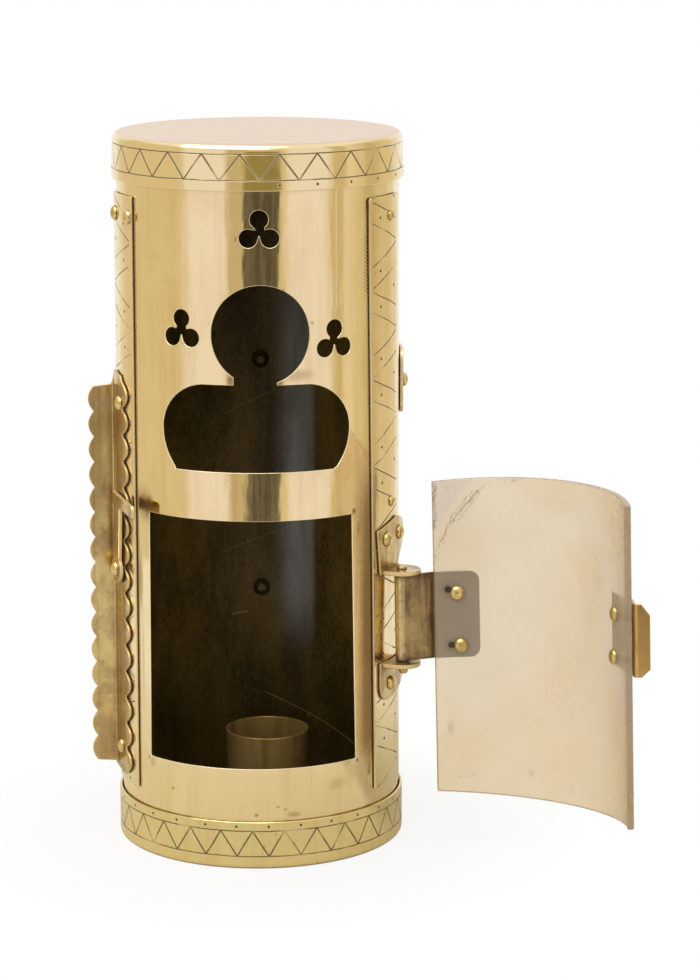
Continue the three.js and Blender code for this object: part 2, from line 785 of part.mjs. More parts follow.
// The pin: a low head over the upper ear and a hammered tail under the lower one. It is drawn
// upright about its middle, then leant.
const pinTop = upperEarBottom + earSheet + gap - pinMiddle;
const pinFoot = lowerEarTop - earSheet - gap - pinMiddle;
const pin = addMesh(body, 'hinge_pin', turned([
  [0, pinFoot - pinTail],
  [pinRadius * 0.7, pinFoot - pinTail],
  [pinRadius + pinTailSwell, pinFoot - pinTail * 0.6],
  [pinRadius + pinTailSwell * 0.75, pinFoot],
  [pinRadius, pinFoot],
  [pinRadius, pinTop],
  [pinHead, pinTop],
  [pinHead * 0.8, pinTop + pinHeadHeight * 0.8],
  [0, pinTop + pinHeadHeight],
], 16), rivetBrass);
pin.position.set(pinCentre.x, pinCentre.y, pinMiddle);
pin.quaternion.copy(pinTurn);

// The door's pieces are drawn in the shut position, round the lantern, and turned about the pin.
const doorLeaf = new THREE.Group();
doorLeaf.position.set(-pinCentre.x, -pinCentre.y, -pinMiddle);
door.position.set(pinCentre.x, pinCentre.y, pinMiddle);
door.quaternion.setFromAxisAngle(pinAxis, radians(doorOpenAngle));
door.add(doorLeaf);

// The horn is a thin curved sheet with slightly bowed upper and lower edges.
function hornOutline() {
  const steps = 12;
  const lower = [];
  const upper = [];
  const between = THREE.MathUtils.lerp;
  for (let i = 0; i <= steps; i += 1) {
    const t = i / steps;
    const bow = 4 * t * (1 - t);
    const along = arc(between(hornFreeAngle, hornHingeAngle, t));
    lower.push([along, hornBottom - hornBottomBow * bow]);
    upper.push([along, hornTop + hornTopBow * bow]);
  }
  return [...lower, ...upper.reverse()];
}

let hornPane = shell(
  hornInner, hornOuter, hornBottom - hornBottomBow * 2, hornTop + hornTopBow * 2,
);
hornPane = hornPane.intersect(radialBlock(hornOutline()));
hornPane = drill(hornPane, [...strapRivets, ...tabRivets], shankHole);
hornPane = drill(hornPane, strapSpareHoles, spareHoleRadius);
addMesh(doorLeaf, 'horn_pane', geometryOf(hornPane), horn);

// The strap lies on the horn. From the horn's edge it runs straight to the inner side of the
// barrel that its end is rolled into, round the pin.
const strapMiddle = (strapInner + strapOuter) / 2;
const barrelMiddle = pinHole + strapSheet / 2;
const pinPlan = new THREE.Vector2(pinCentre.x, pinCentre.y);
const strapArc = arcPoints(
  new THREE.Vector2(), strapMiddle, strapEndAngle - 90, hornHingeAngle - 90, 8,
);
const toStrap = strapArc.at(-1).clone().sub(pinPlan);
const tangentTurn = Math.acos(barrelMiddle / toStrap.length());
const barrelStart = THREE.MathUtils.radToDeg(toStrap.angle() - tangentTurn);
const strapCentreLine = [
  ...strapArc,
  ...arcPoints(pinPlan, barrelMiddle, barrelStart, barrelStart - barrelSweepAngle, 16),
];
const strapSolid = solid(
  extruded(ribbonShape(strapCentreLine, strapSheet), strapHeight).translate(0, 0, strapBottom),
);

// The barrel leans with the pin; the straight part between it and the horn takes up the twist.
const hornEdgePoint = strapArc.at(-1);
const barrelPoint = arcPoints(pinPlan, barrelMiddle, barrelStart, barrelStart, 1)[0];
const straightRun = barrelPoint.clone().sub(hornEdgePoint);
const leaningStrap = strapSolid.warp((vertex) => {
  const along = (vertex[0] - hornEdgePoint.x) * straightRun.x
    + (vertex[1] - hornEdgePoint.y) * straightRun.y;
  const share = THREE.MathUtils.clamp(along / straightRun.lengthSq(), 0, 1);
  vertex[0] += share * pinSlopeX * (vertex[2] - pinMiddle);
  vertex[1] += share * pinSlopeY * (vertex[2] - pinMiddle);
});

// Rounded corners at the strap's free end.
const strapTip = arc(strapEndAngle);
const beyondTip = strapTip - strapSheet;
const farSide = arc(hingeAngle) + (pinHole + strapSheet) * 3;
const cornerShape = new THREE.Shape();
cornerShape.moveTo(farSide, strapBottom - 1);
cornerShape.lineTo(farSide, strapTop + 1);
cornerShape.lineTo(strapTip + strapCorner, strapTop + 1);
cornerShape.lineTo(strapTip + strapCorner, strapTop);
cornerShape.quadraticCurveTo(strapTip, strapTop, strapTip, strapTop - strapCorner);
cornerShape.lineTo(beyondTip, strapTop - strapCorner);
cornerShape.lineTo(beyondTip, strapBottom + strapCorner);
cornerShape.lineTo(strapTip, strapBottom + strapCorner);
cornerShape.quadraticCurveTo(strapTip, strapBottom, strapTip + strapCorner, strapBottom);
cornerShape.lineTo(strapTip + strapCorner, strapBottom - 1);
let strap = leaningStrap.intersect(radialBlock(outlineOf(cornerShape, 5)));
strap = drill(strap, strapRivets, shankHole);
strap = drill(strap, strapSpareHoles, spareHoleRadius);
addMesh(doorLeaf, 'door_strap', geometryOf(strap), darkBrass);

// Door rivets have their domes on the inner face, where they show.
const doorRivet = (outerFace) => (
  rivetGeometry(gap - hornInner, -outerFace - gap, rivetHead, doorRivetDome).rotateX(Math.PI)
);
addAround(doorLeaf, 'door_strap_rivet', strapRivets, doorRivet(strapOuter), rivetBrass);

// The pull tab: a flange on the horn's outer face and a bevelled wing that stands out at its edge.
const tabThickness = THREE.MathUtils.radToDeg(tabSheet / tabInner);
const tabFlange = shell(tabInner, tabOuter, tabBottom - 1, tabTop + 1).intersect(radialBlock([
  [arc(tabEdge + tabThickness / 2), tabBottom],
  [arc(tabFlangeEndAngle), tabBottom],
  [arc(tabFlangeEndAngle), tabTop],
  [arc(tabEdge + tabThickness / 2), tabTop],
]));
const wingShape = new THREE.Shape([
  new THREE.Vector2(tabInner, tabBottom),
  new THREE.Vector2(tabInner + tabReach, tabBottom + tabBevel * 0.7),
  new THREE.Vector2(tabInner + tabReach, tabTop - tabBevel),
  new THREE.Vector2(tabInner, tabTop),
]);
const wing = solid(radialPlate(wingShape, tabEdge + tabThickness / 2, tabSheet));
const tab = drill(tabFlange.add(wing), tabRivets, shankHole);
addMesh(doorLeaf, 'pull_tab', geometryOf(tab), wornBrass);
addAround(doorLeaf, 'pull_tab_rivet', tabRivets, doorRivet(tabOuter), rivetBrass);

// The band and the handle at the back.

// A riveted band with rounded ends round the back, kept in two halves that meet behind.
function bandHalf(end, back) {
  const side = Math.sign(back - end);
  const e = arc(end);
  const shape = new THREE.Shape();
  shape.moveTo(arc(back + side), bandBottom);
  shape.lineTo(arc(back + side), bandBottom + bandHeight);
  shape.lineTo(e + side * bandCorner, bandBottom + bandHeight);
  shape.quadraticCurveTo(e, bandBottom + bandHeight, e, bandBottom + bandHeight - bandCorner);
  shape.lineTo(e, bandBottom + bandCorner);
  shape.quadraticCurveTo(e, bandBottom, e + side * bandCorner, bandBottom);
  return shell(bandInner, bandOuter, bandBottom - 1, bandBottom + bandHeight + 1)
    .intersect(radialBlock(outlineOf(shape, 4)));
}
const backAngle = 180;
let band = bandHalf(bandRightEndAngle, backAngle).add(bandHalf(bandLeftEndAngle, backAngle));
band = drill(band, [...bandRivets, handleRivets.at(0)], shankHole);
addMesh(body, 'back_band', geometryOf(band), stripBrass);
addAround(body, 'back_band_rivet', bandRivets, rivetGeometry(bandOuter + gap, tailSeat), rivetBrass);

// The handle is a strip of sheet bent to a D, seen here from the side as (distance, height).
const topFoot = bandOuter + gap + handleSheet / 2;
const bottomFoot = bodyRadius + gap + handleSheet / 2;
const grip = bodyRadius + handleReach + handleSheet;
const gripMiddle = (handleTopRivet + handleBottomRivet) / 2;
const at = (x, y) => new THREE.Vector2(x, y);
const upperBend = new THREE.CubicBezierCurve(
  at(topFoot, handleTopRivet - handleFoot * 0.6),
  at(topFoot, handleTopRivet - handleFoot - handleBend),
  at(grip, handleTopRivet + handleSheet),
  at(grip, gripMiddle),
);
const lowerBend = new THREE.CubicBezierCurve(
  at(grip, gripMiddle),
  at(grip, handleBottomRivet - handleSheet),
  at(bottomFoot, handleBottomRivet + handleFoot + handleBend),
  at(bottomFoot, handleBottomRivet + handleFoot * 0.6),
);
const handlePoints = [
  at(topFoot, handleTopRivet + handleFoot),
  ...upperBend.getPoints(10),
  ...lowerBend.getPoints(10).slice(1),
  at(bottomFoot, handleBottomRivet - handleFoot),
];
const handleSide = ribbonShape(handlePoints, handleSheet);
const handleStrip = solid(radialPlate(handleSide, backAngle, handleWidth));
const handle = drill(handleStrip, handleRivets, shankHole, 0, topFoot + handleSheet);
addMesh(body, 'back_handle', geometryOf(handle), wornBrass);

// Washers inside the tube spread the load of the handle's two rivets.
const washerInner = bodyInner - gap - washerSheet;
const washer = turned([
  [shankHole, washerInner],
  [washerRadius, washerInner],
  [washerRadius, washerInner + washerSheet],
  [shankHole, washerInner + washerSheet],
  [shankHole, washerInner],
], 16);
addAround(body, 'handle_washer', handleRivets, washer, darkBrass);

[topFoot, bottomFoot].forEach((middle, i) => {
  const [angle, z] = handleRivets[i];
  const rivet = rivetGeometry(middle + handleSheet / 2 + gap, washerInner - gap);
  addMesh(body, `handle_rivet_${i + 1}`, rivet, rivetBrass)
    .applyMatrix4(placeOnLantern(angle, 0, z));
});

export default lantern;
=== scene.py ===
"""Candle lantern of sheet brass with a horn door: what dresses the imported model.

Shapes are worked out in millimetres and put into the meshes in metres. Angles round the lantern
are in degrees from the front (-Y) towards +X. A sheet is drawn flat as (u, v) points, cut by its
outline and holes, and then carried to its place by a function of (u, v, depth).
"""

import math
from functools import partial

import bpy
import numpy as np
from mathutils import Matrix, Vector


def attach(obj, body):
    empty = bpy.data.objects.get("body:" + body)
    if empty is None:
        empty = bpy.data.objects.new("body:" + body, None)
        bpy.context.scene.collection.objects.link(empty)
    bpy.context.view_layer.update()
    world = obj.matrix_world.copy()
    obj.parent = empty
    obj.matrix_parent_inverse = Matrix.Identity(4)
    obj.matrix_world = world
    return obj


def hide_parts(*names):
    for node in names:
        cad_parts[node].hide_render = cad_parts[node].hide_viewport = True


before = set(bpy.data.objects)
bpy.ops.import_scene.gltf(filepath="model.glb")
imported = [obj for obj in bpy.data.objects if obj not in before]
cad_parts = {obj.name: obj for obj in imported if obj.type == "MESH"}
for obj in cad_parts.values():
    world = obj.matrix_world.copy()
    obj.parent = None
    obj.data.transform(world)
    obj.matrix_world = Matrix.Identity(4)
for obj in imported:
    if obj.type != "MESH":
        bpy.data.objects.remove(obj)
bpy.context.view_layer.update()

MM = 0.001

# The small clearance between fitted pieces; the tube's outer and inner radius, foot and top.
GAP = 0.3
HEIGHT = 253.0
BODY = 49.8
BODY_IN = 49.2
BODY_FLOOR = 1.5
BODY_TOP = 252.0

# Heights between which the tube's grid is fine: at the sill, at the lintel and round the vents.
SILL_BAND = (34.5, 37.2)
LINTEL_BAND = (122.0, 124.6)
VENTS_BAND = (139.0, 233.0)

# Cut-outs: the window's side angles at its sill and at its lintel, and the trefoils as
# (angle, height).
WINDOW_SILL, WINDOW_LINTEL = 35.7, 123.4
WINDOW_LEFT, WINDOW_RIGHT = (-50.2, -49.6), (42.6, 40.7)
TREFOILS = [(1.2, 223.2), (-31.2, 188.6), (32.3, 184.8)]

CAP_IN, CAP_OUT, CAP_RIM, CAP_FLARE = 50.1, 50.8, 237.2, 0.6
CAP_SHEET = CAP_OUT - CAP_IN
CAP_LINES = (249.6, 240.8)
BASE_IN, BASE_OUT, BASE_RIM, BASE_FLOOR = 50.1, 51.0, 16.9, 1.2
BASE_LINES = (13.7, 4.6)
CUP_X, CUP_FOOT, CUP_TOP, CUP_R, CUP_FOOT_R, CUP_WALL = 2.3, 1.5, 36.5, 15.0, 13.6, 0.9

# Strips: the right one's front edge has an angle at its foot and one at its top, where the
# sheet lifts a little off the tube.
STRIP_IN, STRIP_OUT = 50.1, 50.8
STRIP_BOTTOM, STRIP_TOP = 22.4, 232.6
LEFT_STRIP_FRONT, LEFT_STRIP_BACK = -58.4, -80.5
RIGHT_STRIP_FRONT = (53.35, 49.5)
RIGHT_STRIP_SPAN = 24.0
RIGHT_STRIP_LIFT, LIFT_LENGTH = 0.2, 9.0
STRIP_PERIOD = 31.0
STRIP_SLOPE = 0.42

PLATE_IN, KEEPER_OUT, LEAF_OUT = 51.1, 52.0, 51.9
KEEPER_BOTTOM, KEEPER_TOP, KEEPER_FRONT, KEEPER_CORNER = 25.5, 170.0, -62.0, 3.0
FIN_ANGLE, FIN_REACH, FIN_BOTTOM, FIN_TOP = -79.5, 9.0, 28.0, 164.0
SCALLOP_PITCH, FLANGE_SCALLOP, FIN_SCALLOP = 9.33, 4.4, 1.9

LATCH_ANGLE, LATCH_IN, LATCH_Z, LATCH_SHEET, LATCH_LEAN = -70.2, 52.3, 99.8, 1.4, 4.0
LATCH_STEM, LATCH_BOSS, LATCH_LENGTH, LATCH_HEAD = 6.6, 5.0, 27.33, 4.4
LATCH_HOOK, LATCH_HEEL = 14.4, 2.8

# The hinge, with the pin's lean towards +X and +Y, and rivets as (angle, height).
HINGE_ANGLE, HINGE_R, PIN_R = 63.9, 56.13, 1.3
PIN_LEAN = (-0.93, 0.6)
EAR_SHEET, EAR_R, EAR_FRONT = 1.5, 6.5, 55.4
UPPER_EAR, LOWER_EAR = 99.5, 67.6
LEAF_MARGIN = 5.2
UPPER_EAR_RIVETS = [(59.9, 111.82), (72.2, 112.27)]
LOWER_EAR_RIVET = (63.3, 59.41)
STRAP_IN, STRAP_SHEET, STRAP_END, STRAP_CORNER = 54.4, 1.2, 35.2, 3.5
STRAP_BOTTOM, STRAP_TOP = 68.1, 99.0
STRAP_RIVETS = [(43.7, 91.68), (42.5, 72.72)]
SPARE_HOLES = [(47.3, 93.0), (46.3, 73.02)]
BARREL_R, BARREL_TURN = 2.1, 290

# The door as it is when shut, and how far it stands open.
HORN_IN, HORN_SHEET = 51.8, 2.3
HORN_BOTTOM, HORN_TOP, HORN_BOTTOM_BOW, HORN_TOP_BOW = 20.2, 131.6, 2.6, 1.4
HORN_FREE, HORN_HINGE = -51.5, 52.5
DOOR_OPEN = 138.5
TAB_IN, TAB_SHEET, TAB_BOTTOM, TAB_TOP = 54.4, 1.2, 72.7, 97.9
TAB_END, TAB_EDGE, TAB_REACH, TAB_BEVEL = -27.5, -51.5, 5.8, 3.9
TAB_RIVETS = [(-32.4, 91.08), (-31.2, 75.92)]

BAND_BOTTOM, BAND_TOP, BAND_SHEET, BAND_CORNER = 151.8, 175.8, 1.2, 5.0
BAND_ENDS = (88.0, 264.0)
HANDLE_WIDTH, HANDLE_SHEET, HANDLE_REACH, HANDLE_CORNER = 18.0, 1.8, 32.0, 4.0
HANDLE_RIVETS = (163.2, 76.7)
WASHER_BORE, WASHER_R, WASHER_SHEET = 1.5, 3.1, 0.8

# Rivets: the head's radius, how high its dome is, the shank, and how far it stands off its seat.
RIVET_HEAD, RIVET_DOME, RIVET_SHANK, SEAT = 2.6, 1.75, 1.2, 0.05
DOME_ANGLES = (76, 60, 42, 25, 9)
TAIL_R, TAIL_HEIGHT = 1.8, 0.7
TAIL_SEAT = BODY_IN - GAP
LEFT_STRIP_NAILS = [(-61.3, 225.4), (-76.3, 225.4)]
RIGHT_STRIP_NAILS = [(65, 225.4), (66.2, 124.34)]
KEEPER_RIVETS = [(-68.8, 159.29), (-71.3, 34.87)]
BAND_RIVETS = [(angle, (BAND_BOTTOM + BAND_TOP) / 2) for angle in (92, 260)]


def arc(angle):
    """Length on the tube's surface of an angle in degrees."""
    return math.radians(angle) * BODY


PIN = np.array([
    HINGE_R * math.sin(math.radians(HINGE_ANGLE)),
    -HINGE_R * math.cos(math.radians(HINGE_ANGLE)),
])
PIN_MIDDLE = (STRAP_BOTTOM + STRAP_TOP) / 2
PIN_SLOPE = np.tan(np.radians(PIN_LEAN))
PIN_AXIS = Vector((*PIN_SLOPE, 1.0)).normalized()


# Shader maths.

class Value:
    """A shader socket that takes part in Python arithmetic."""

    def __init__(self, paint, socket):
        self.paint = paint
        self.socket = socket

    def __add__(self, other):
        return self.paint.math("ADD", self, other)

    __radd__ = __add__

    def __sub__(self, other):
        return self.paint.math("SUBTRACT", self, other)

    def __rsub__(self, other):
        return self.paint.math("SUBTRACT", other, self)

    def __mul__(self, other):
        return self.paint.math("MULTIPLY", self, other)

    __rmul__ = __mul__

    def __truediv__(self, other):
        return self.paint.math("DIVIDE", self, other)

    def __rtruediv__(self, other):
        return self.paint.math("DIVIDE", other, self)

    def __abs__(self):
        return self.paint.math("ABSOLUTE", self)


class Paint:
    """A material, or the world, whose nodes are added one call at a time."""

    def __init__(self, owner):
        owner.use_nodes = True
        self.tree = owner.node_tree
        self.tree.nodes.clear()

    def add(self, kind, settings=None, values=None, out=0):
        """Adds a node: its settings are set first, then its sockets' values or links."""
        node = self.tree.nodes.new(kind)
        for key, value in (settings or {}).items():
            setattr(node, key, value)
        for key, value in (values or {}).items():
            socket = node.inputs[key]
            if isinstance(value, Value):
                self.tree.links.new(value.socket, socket)
            else:
                socket.default_value = value
        return Value(self, node.outputs[out]) if len(node.outputs) else None

    def math(self, operation, *values):
        return self.add("ShaderNodeMath", {"operation": operation}, dict(enumerate(values)))

    def low(self, a, b):
        return self.math("MINIMUM", a, b)

    def high(self, a, b):
        return self.math("MAXIMUM", a, b)

    def step(self, value, start, end, low=0.0, high=1.0):
        """Goes smoothly from low to high as the value goes from start to end."""
        return self.add(
            "ShaderNodeMapRange", {"interpolation_type": "SMOOTHSTEP"},
            {"Value": value, "From Min": start, "From Max": end, "To Min": low, "To Max": high},
        )

    def span(self, value, rise_start, rise_end, fall_start, fall_end):
        """Goes smoothly from zero to one and, further on, back to zero."""
        rise = self.step(value, rise_start, rise_end)
        return rise * self.step(value, fall_start, fall_end, 1.0, 0.0)

    def distance(self, x, y):
        return self.math("SQRT", x * x + y * y)

    def mix(self, factor, a, b):
        """A colour between a and b, through the node's colour sockets, which are 6, 7 and 2."""
        return self.add(
            "ShaderNodeMix", {"data_type": "RGBA"}, {0: factor, 6: colour(a), 7: colour(b)},
            out=2,
        )

    def vector(self, x, y, z):
        return self.add("ShaderNodeCombineXYZ", None, {0: x, 1: y, 2: z})

    def parts(self, vector):
        node = self.add("ShaderNodeSeparateXYZ", None, {0: vector}).socket.node
        return [Value(self, socket) for socket in node.outputs]

    def scaled(self, vector, factors):
        return self.add(
            "ShaderNodeVectorMath", {"operation": "MULTIPLY"}, {0: vector, 1: factors},
        )

    def noise(self, vector, scale=1.0, detail=3.0, roughness=0.55, distortion=0.0):
        return self.add("ShaderNodeTexNoise", None, {
            "Vector": vector, "Scale": scale, "Detail": detail, "Roughness": roughness,
            "Distortion": distortion,
        })

    def object_mm(self):
        """Object coordinates in millimetres."""
        place = self.add("ShaderNodeTexCoord", out="Object")
        return self.scaled(place, (1.0 / MM,) * 3)

    def attribute(self, name, out="Fac"):
        return self.add("ShaderNodeAttribute", {"attribute_name": name}, out=out)

    def around(self, place):
        """Angle in degrees round the lantern, height and radius of a place."""
        x, y, z = self.parts(place)
        angle = self.math("ARCTAN2", x, y * -1.0) * (180.0 / math.pi)
        return angle, z, self.distance(x, y)

    def bump(self, height):
        """A normal from a height in millimetres."""
        return self.add("ShaderNodeBump", None, {
            "Strength": 1.0, "Distance": 1.0, "Height": height * MM,
        })


def colour(value):
    """A tone as a socket takes it."""
    return value if isinstance(value, Value) else (*value, 1.0)


def stroke(paint, distance, half_width, soft=0.14):
    """One inside an engraved line of that half width, nothing outside."""
    return paint.step(distance, half_width - soft / 2, half_width + soft / 2, 1.0, 0.0)


def nearest_copy(paint, value, pitch):
    """How far a value is from the nearest multiple of the pitch, always positive."""
    return abs(paint.math("WRAP", value, pitch / 2, -pitch / 2))


def hand_wobble(paint, place, amount, scale=0.12):
    """A slow unevenness of hand work, in the units of the amount."""
    return (paint.noise(place, scale, 1.0) - 0.5) * (2.0 * amount)


def beside_line(u, v, start, end):
    """How far a flat place lies along a line, how far beside it, and the line's length."""
    du, dv = end[0] - start[0], end[1] - start[1]
    length = math.hypot(du, dv)
    along = ((u - start[0]) * du + (v - start[1]) * dv) / length
    beside = ((u - start[0]) * dv - (v - start[1]) * du) / length
    return along, beside, length


# Looks: what a material is made of before it gets its shader.

class Look:
    """Where a material is worked out on the lantern, and what its shader gets: a colour, how
    rough and how metallic it is, a clear sheen and a height in millimetres."""

    def __init__(self, name, base, rough, metal=0.0):
        self.material = bpy.data.materials.new(name)
        self.paint = Paint(self.material)
        self.place = self.paint.object_mm()
        self.flat = self.paint.attribute("flat", out="Vector")
        self.wall = self.paint.attribute("wall")
        self.angle, self.z, self.radius = self.paint.around(self.place)
        self.base = base
        self.rough = rough
        self.metal = metal
        self.sheen = 0.0
        self.height = 0.0

    def stretched(self, up, across=1.0):
        """The place scaled by one factor up and another across, which draws a pattern out."""
        return self.paint.scaled(self.place, (across, across, up))

    def cover(self, mask, share, tone, rough=0.0, metal=0.0, height=0.0):
        """Lays a share of a tone over the colour where the mask is one, and changes roughness,
        metal and height there by the given amounts."""
        self.base = self.paint.mix(mask * share, self.base, tone)
        for name, change in (("rough", rough), ("metal", metal), ("height", height)):
            if change:
                setattr(self, name, getattr(self, name) + mask * change)

    def finished(self, values):
        """The material, its shader fed with the look and with further values."""
        shader = self.paint.add("ShaderNodeBsdfPrincipled", None, {
            "Base Color": self.base, "Roughness": self.rough,
            "Normal": self.paint.bump(self.height), **values,
        })
        self.paint.add("ShaderNodeOutputMaterial", None, {"Surface": shader})
        return self.material


class SheetLook(Look):
    """A look with the grain of worked sheet: a fine cloud, upright streaks and long drawn lines."""

    def __init__(self, name, base, rough, metal):
        super().__init__(name, base, rough, metal)
        self.fine = self.paint.noise(self.place, 0.35, 6.0, 0.7)
        self.streaks = self.paint.noise(self.stretched(0.16), 0.30, 4.0, 0.6)
        self.drawn = self.paint.noise(self.stretched(0.035), 0.26, 3.0, 0.55)


# Engraving.

def band_of_teeth(look, radius, rules, teeth, first, dots_z, dots_at_points, dots_from=-400.0):
    """Zigzag between two lines round a skirt, with punched dots beside one of the lines, which
    go all round or begin at an angle."""
    paint, place, z = look.paint, look.place, look.z
    upper, lower = rules
    pitch = 360.0 / teeth
    uneven = hand_wobble(paint, place, 0.9, 0.05)
    off = nearest_copy(paint, look.angle - first + uneven, pitch)
    rise = (upper - lower) / (pitch / 2)
    slope = rise / math.radians(radius)
    zig = abs(z - (upper - off * rise)) / math.sqrt(1 + slope * slope)
    inside = paint.span(z, lower - 0.5, lower - 0.1, upper + 0.1, upper + 0.5)
    faint = paint.step(paint.noise(place, 0.09, 2.0), 0.34, 0.50, 0.45, 1.0)
    cut = stroke(paint, zig, 0.27, 0.24) * inside * faint
    wave = hand_wobble(paint, place, 0.18, 0.16)
    for rule in rules:
        cut = paint.high(cut, stroke(paint, abs(z - rule + wave), 0.20, 0.2) * faint)
    dot_off = off if dots_at_points else pitch / 2 - off
    dot = paint.distance(dot_off * math.radians(radius), z - dots_z + wave * 0.6)
    shown = paint.step(look.angle, dots_from, dots_from + 1.0)
    return paint.high(cut, stroke(paint, dot, 0.50, 0.25) * shown)


def strip_strokes(look, apex_height, width):
    """Pairs of slanted strokes down a strip that meet by turns at its front and its back edge,
    with punched dots beside both edges."""
    paint, place = look.paint, look.place
    across, z, _ = paint.parts(look.flat)
    wobble = hand_wobble(paint, place, 0.7, 0.06)
    off = nearest_copy(paint, z - apex_height + wobble, STRIP_PERIOD)
    lean = math.cos(math.atan(STRIP_SLOPE))
    front = abs(off - across * STRIP_SLOPE) * lean
    back = abs(off - STRIP_PERIOD / 2 + (width - across) * STRIP_SLOPE) * lean
    cut = paint.high(stroke(paint, front, 0.22, 0.24), stroke(paint, back, 0.22, 0.24))
    cut = cut * paint.span(across, 1.0, 1.6, width - 1.6, width - 1.0)
    cut = cut * paint.step(paint.noise(place, 0.10, 2.0), 0.34, 0.54, 0.25, 1.0)
    near_dot = paint.distance(across - 6.0, off - 6.3)
    far_dot = paint.distance(across - width + 3.5, off)
    return paint.high(cut, stroke(paint, paint.low(near_dot, far_dot), 0.55, 0.3))


# Tones of the metal, of what lies on it, of painted shade, highlights and reflections, and of the
# smoked wall.

PALE_GOLD = (0.86, 0.70, 0.41)
LEMON_GOLD = (0.80, 0.66, 0.33)
OLD_GOLD = (0.70, 0.51, 0.22)
CUT_EDGE = (0.95, 0.80, 0.54)
PINK_LID_REFLECTION = (0.66, 0.51, 0.38)
BARREL_HIGHLIGHT_GOLD = (0.72, 0.56, 0.27)
OLD_BROWN = (0.13, 0.080, 0.030)
ENGRAVED_BROWN = (0.075, 0.045, 0.018)
CREASE_SHADE_BROWN = (0.42, 0.26, 0.08)
STAIN_AND_SHADE_BROWN = (0.25, 0.140, 0.045)
BLOOM_BROWN = (0.36, 0.225, 0.125)
DARK_EDGE_BROWN = (0.085, 0.050, 0.040)
HOLE_SHADE_DARK = (0.03, 0.02, 0.01)
SOOT = (0.042, 0.026, 0.004)
SMOKE = (0.160, 0.098, 0.018)
LOWER_WALL_DARK = (0.022, 0.014, 0.003)
RED_FLECK = (0.15, 0.062, 0.026)
GREEN_FLECK = (0.075, 0.088, 0.030)
SCRATCHED_SOOT = (0.34, 0.25, 0.10)
PAINTED_SHEEN_GREY = (0.36, 0.37, 0.36)
SMOKED_TAIL = (0.095, 0.070, 0.018)

# Brown stains on the tube, with painted shade, shadow and reflection: angle, height, half width in
# degrees, half height in mm, strength.
TUBE_STAINS_AND_SHADE = (
    (49.5, 108.0, 2.6, 7.0, 0.55), (49.3, 64.0, 2.4, 6.0, 0.6), (44.5, 118.0, 1.6, 4.5, 0.6),
    (46.0, 108.0, 1.2, 3.0, 0.5), (-53.0, 126.0, 5.5, 6.5, 0.62), (-50.0, 125.3, 3.6, 6.0, 0.8),
    (-55.8, 98.0, 1.8, 13.0, 0.5), (-54.8, 70.0, 1.2, 20.0, 0.25), (33.0, 28.0, 5.0, 2.6, 0.22),
    (14.0, 19.0, 3.2, 1.2, 0.45), (-1.2, 19.2, 0.9, 0.7, 0.6), (-37.5, 26.0, 1.0, 0.8, 0.5),
    (38.0, 35.0, 2.2, 1.6, 0.3), (-49.0, 33.5, 2.0, 2.2, 0.3), (41.8, 124.4, 1.1, 1.4, 0.9),
    (-50.2, 124.4, 0.8, 0.9, 0.7), (43.5, 34.9, 0.9, 0.9, 0.8), (-51.2, 34.9, 0.8, 0.9, 0.6),
    (-10.4, 172.4, 1.5, 2.3, 0.7), (8.8, 172.0, 1.6, 1.9, 0.8), (16.0, 174.0, 8.0, 2.4, 0.35),
    (-8.0, 221.0, 0.5, 1.2, 0.7), (10.5, 203.0, 0.7, 1.2, 0.6), (7.5, 22.0, 0.8, 0.5, 0.5),
    (10.5, 21.0, 1.0, 0.5, 0.5),
)

# Scratches in the soot: two places (angle, height), half width in mm and strength.
INNER_SCRATCHES = (
    ((178.9, 36.0), (134.9, 19.4), 0.16, 0.75),
    ((197.0, 90.5), (165.0, 101.0), 0.14, 0.40),
    ((193.0, 66.5), (186.0, 67.5), 0.35, 0.45),
    ((196.0, 143.0), (176.0, 151.0), 0.14, 0.45),
    ((171.0, 149.0), (160.0, 163.0), 0.22, 0.35),
)


# Finishes of the metal.

def inside_soot(look):
    """Colour of the smoked inner wall: mottled brown with fine red and green flecks, and a few
    long scratches that show the metal."""
    paint, place, z = look.paint, look.place, look.z
    x, y, _ = paint.parts(place)
    cloud = paint.noise(look.stretched(0.35), 0.06, 4.0, 0.6)
    grain = paint.noise(look.stretched(0.5), 0.9, 4.0, 0.75)
    smoke = paint.mix(paint.step(cloud * 0.6 + grain * 0.4, 0.36, 0.66), SOOT, SMOKE)
    # The wall is darker towards the bottom.
    smoke = paint.mix(paint.step(z, 75.0, 25.0) * 0.55, smoke, LOWER_WALL_DARK)
    tint = paint.noise(place, 0.55, 2.0, 0.6)
    smoke = paint.mix(paint.step(tint, 0.58, 0.70) * 0.35, smoke, RED_FLECK)
    smoke = paint.mix(paint.step(tint, 0.42, 0.30) * 0.30, smoke, GREEN_FLECK)

    hair = abs(paint.noise(look.stretched(0.16, 0.9), 1.0, 2.0, 0.5, 0.6) - 0.5)
    rare = paint.step(paint.noise(place, 0.07, 1.0), 0.50, 0.64)
    scratch = paint.step(hair, 0.012, 0.002) * rare * 0.35
    slanted = paint.scaled(paint.vector(x + z * 0.45, y, z - x * 0.45), (0.10, 0.9, 0.9))
    cross = abs(paint.noise(slanted, 1.0, 2.0, 0.5, 0.4) - 0.5)
    rare = paint.step(paint.noise(place, 0.05, 1.0), 0.54, 0.66)
    cross = paint.step(cross, 0.010, 0.002) * rare * paint.step(z, 120.0, 150.0, 0.3, 0.6)
    scratch = paint.high(scratch, cross)

    degree = math.radians(BODY_IN)
    round_wall = paint.math("WRAP", look.angle, 360.0, 0.0) * degree
    for (a0, z0), (a1, z1), width, strength in INNER_SCRATCHES:
        along, beside, length = beside_line(round_wall, z, (a0 * degree, z0), (a1 * degree, z1))
        on = paint.span(along / length, -0.02, 0.03, 0.97, 1.02)
        scratch = paint.high(scratch, stroke(paint, abs(beside), width, 0.25) * on * strength)
    return paint.mix(scratch, smoke, SCRATCHED_SOOT)


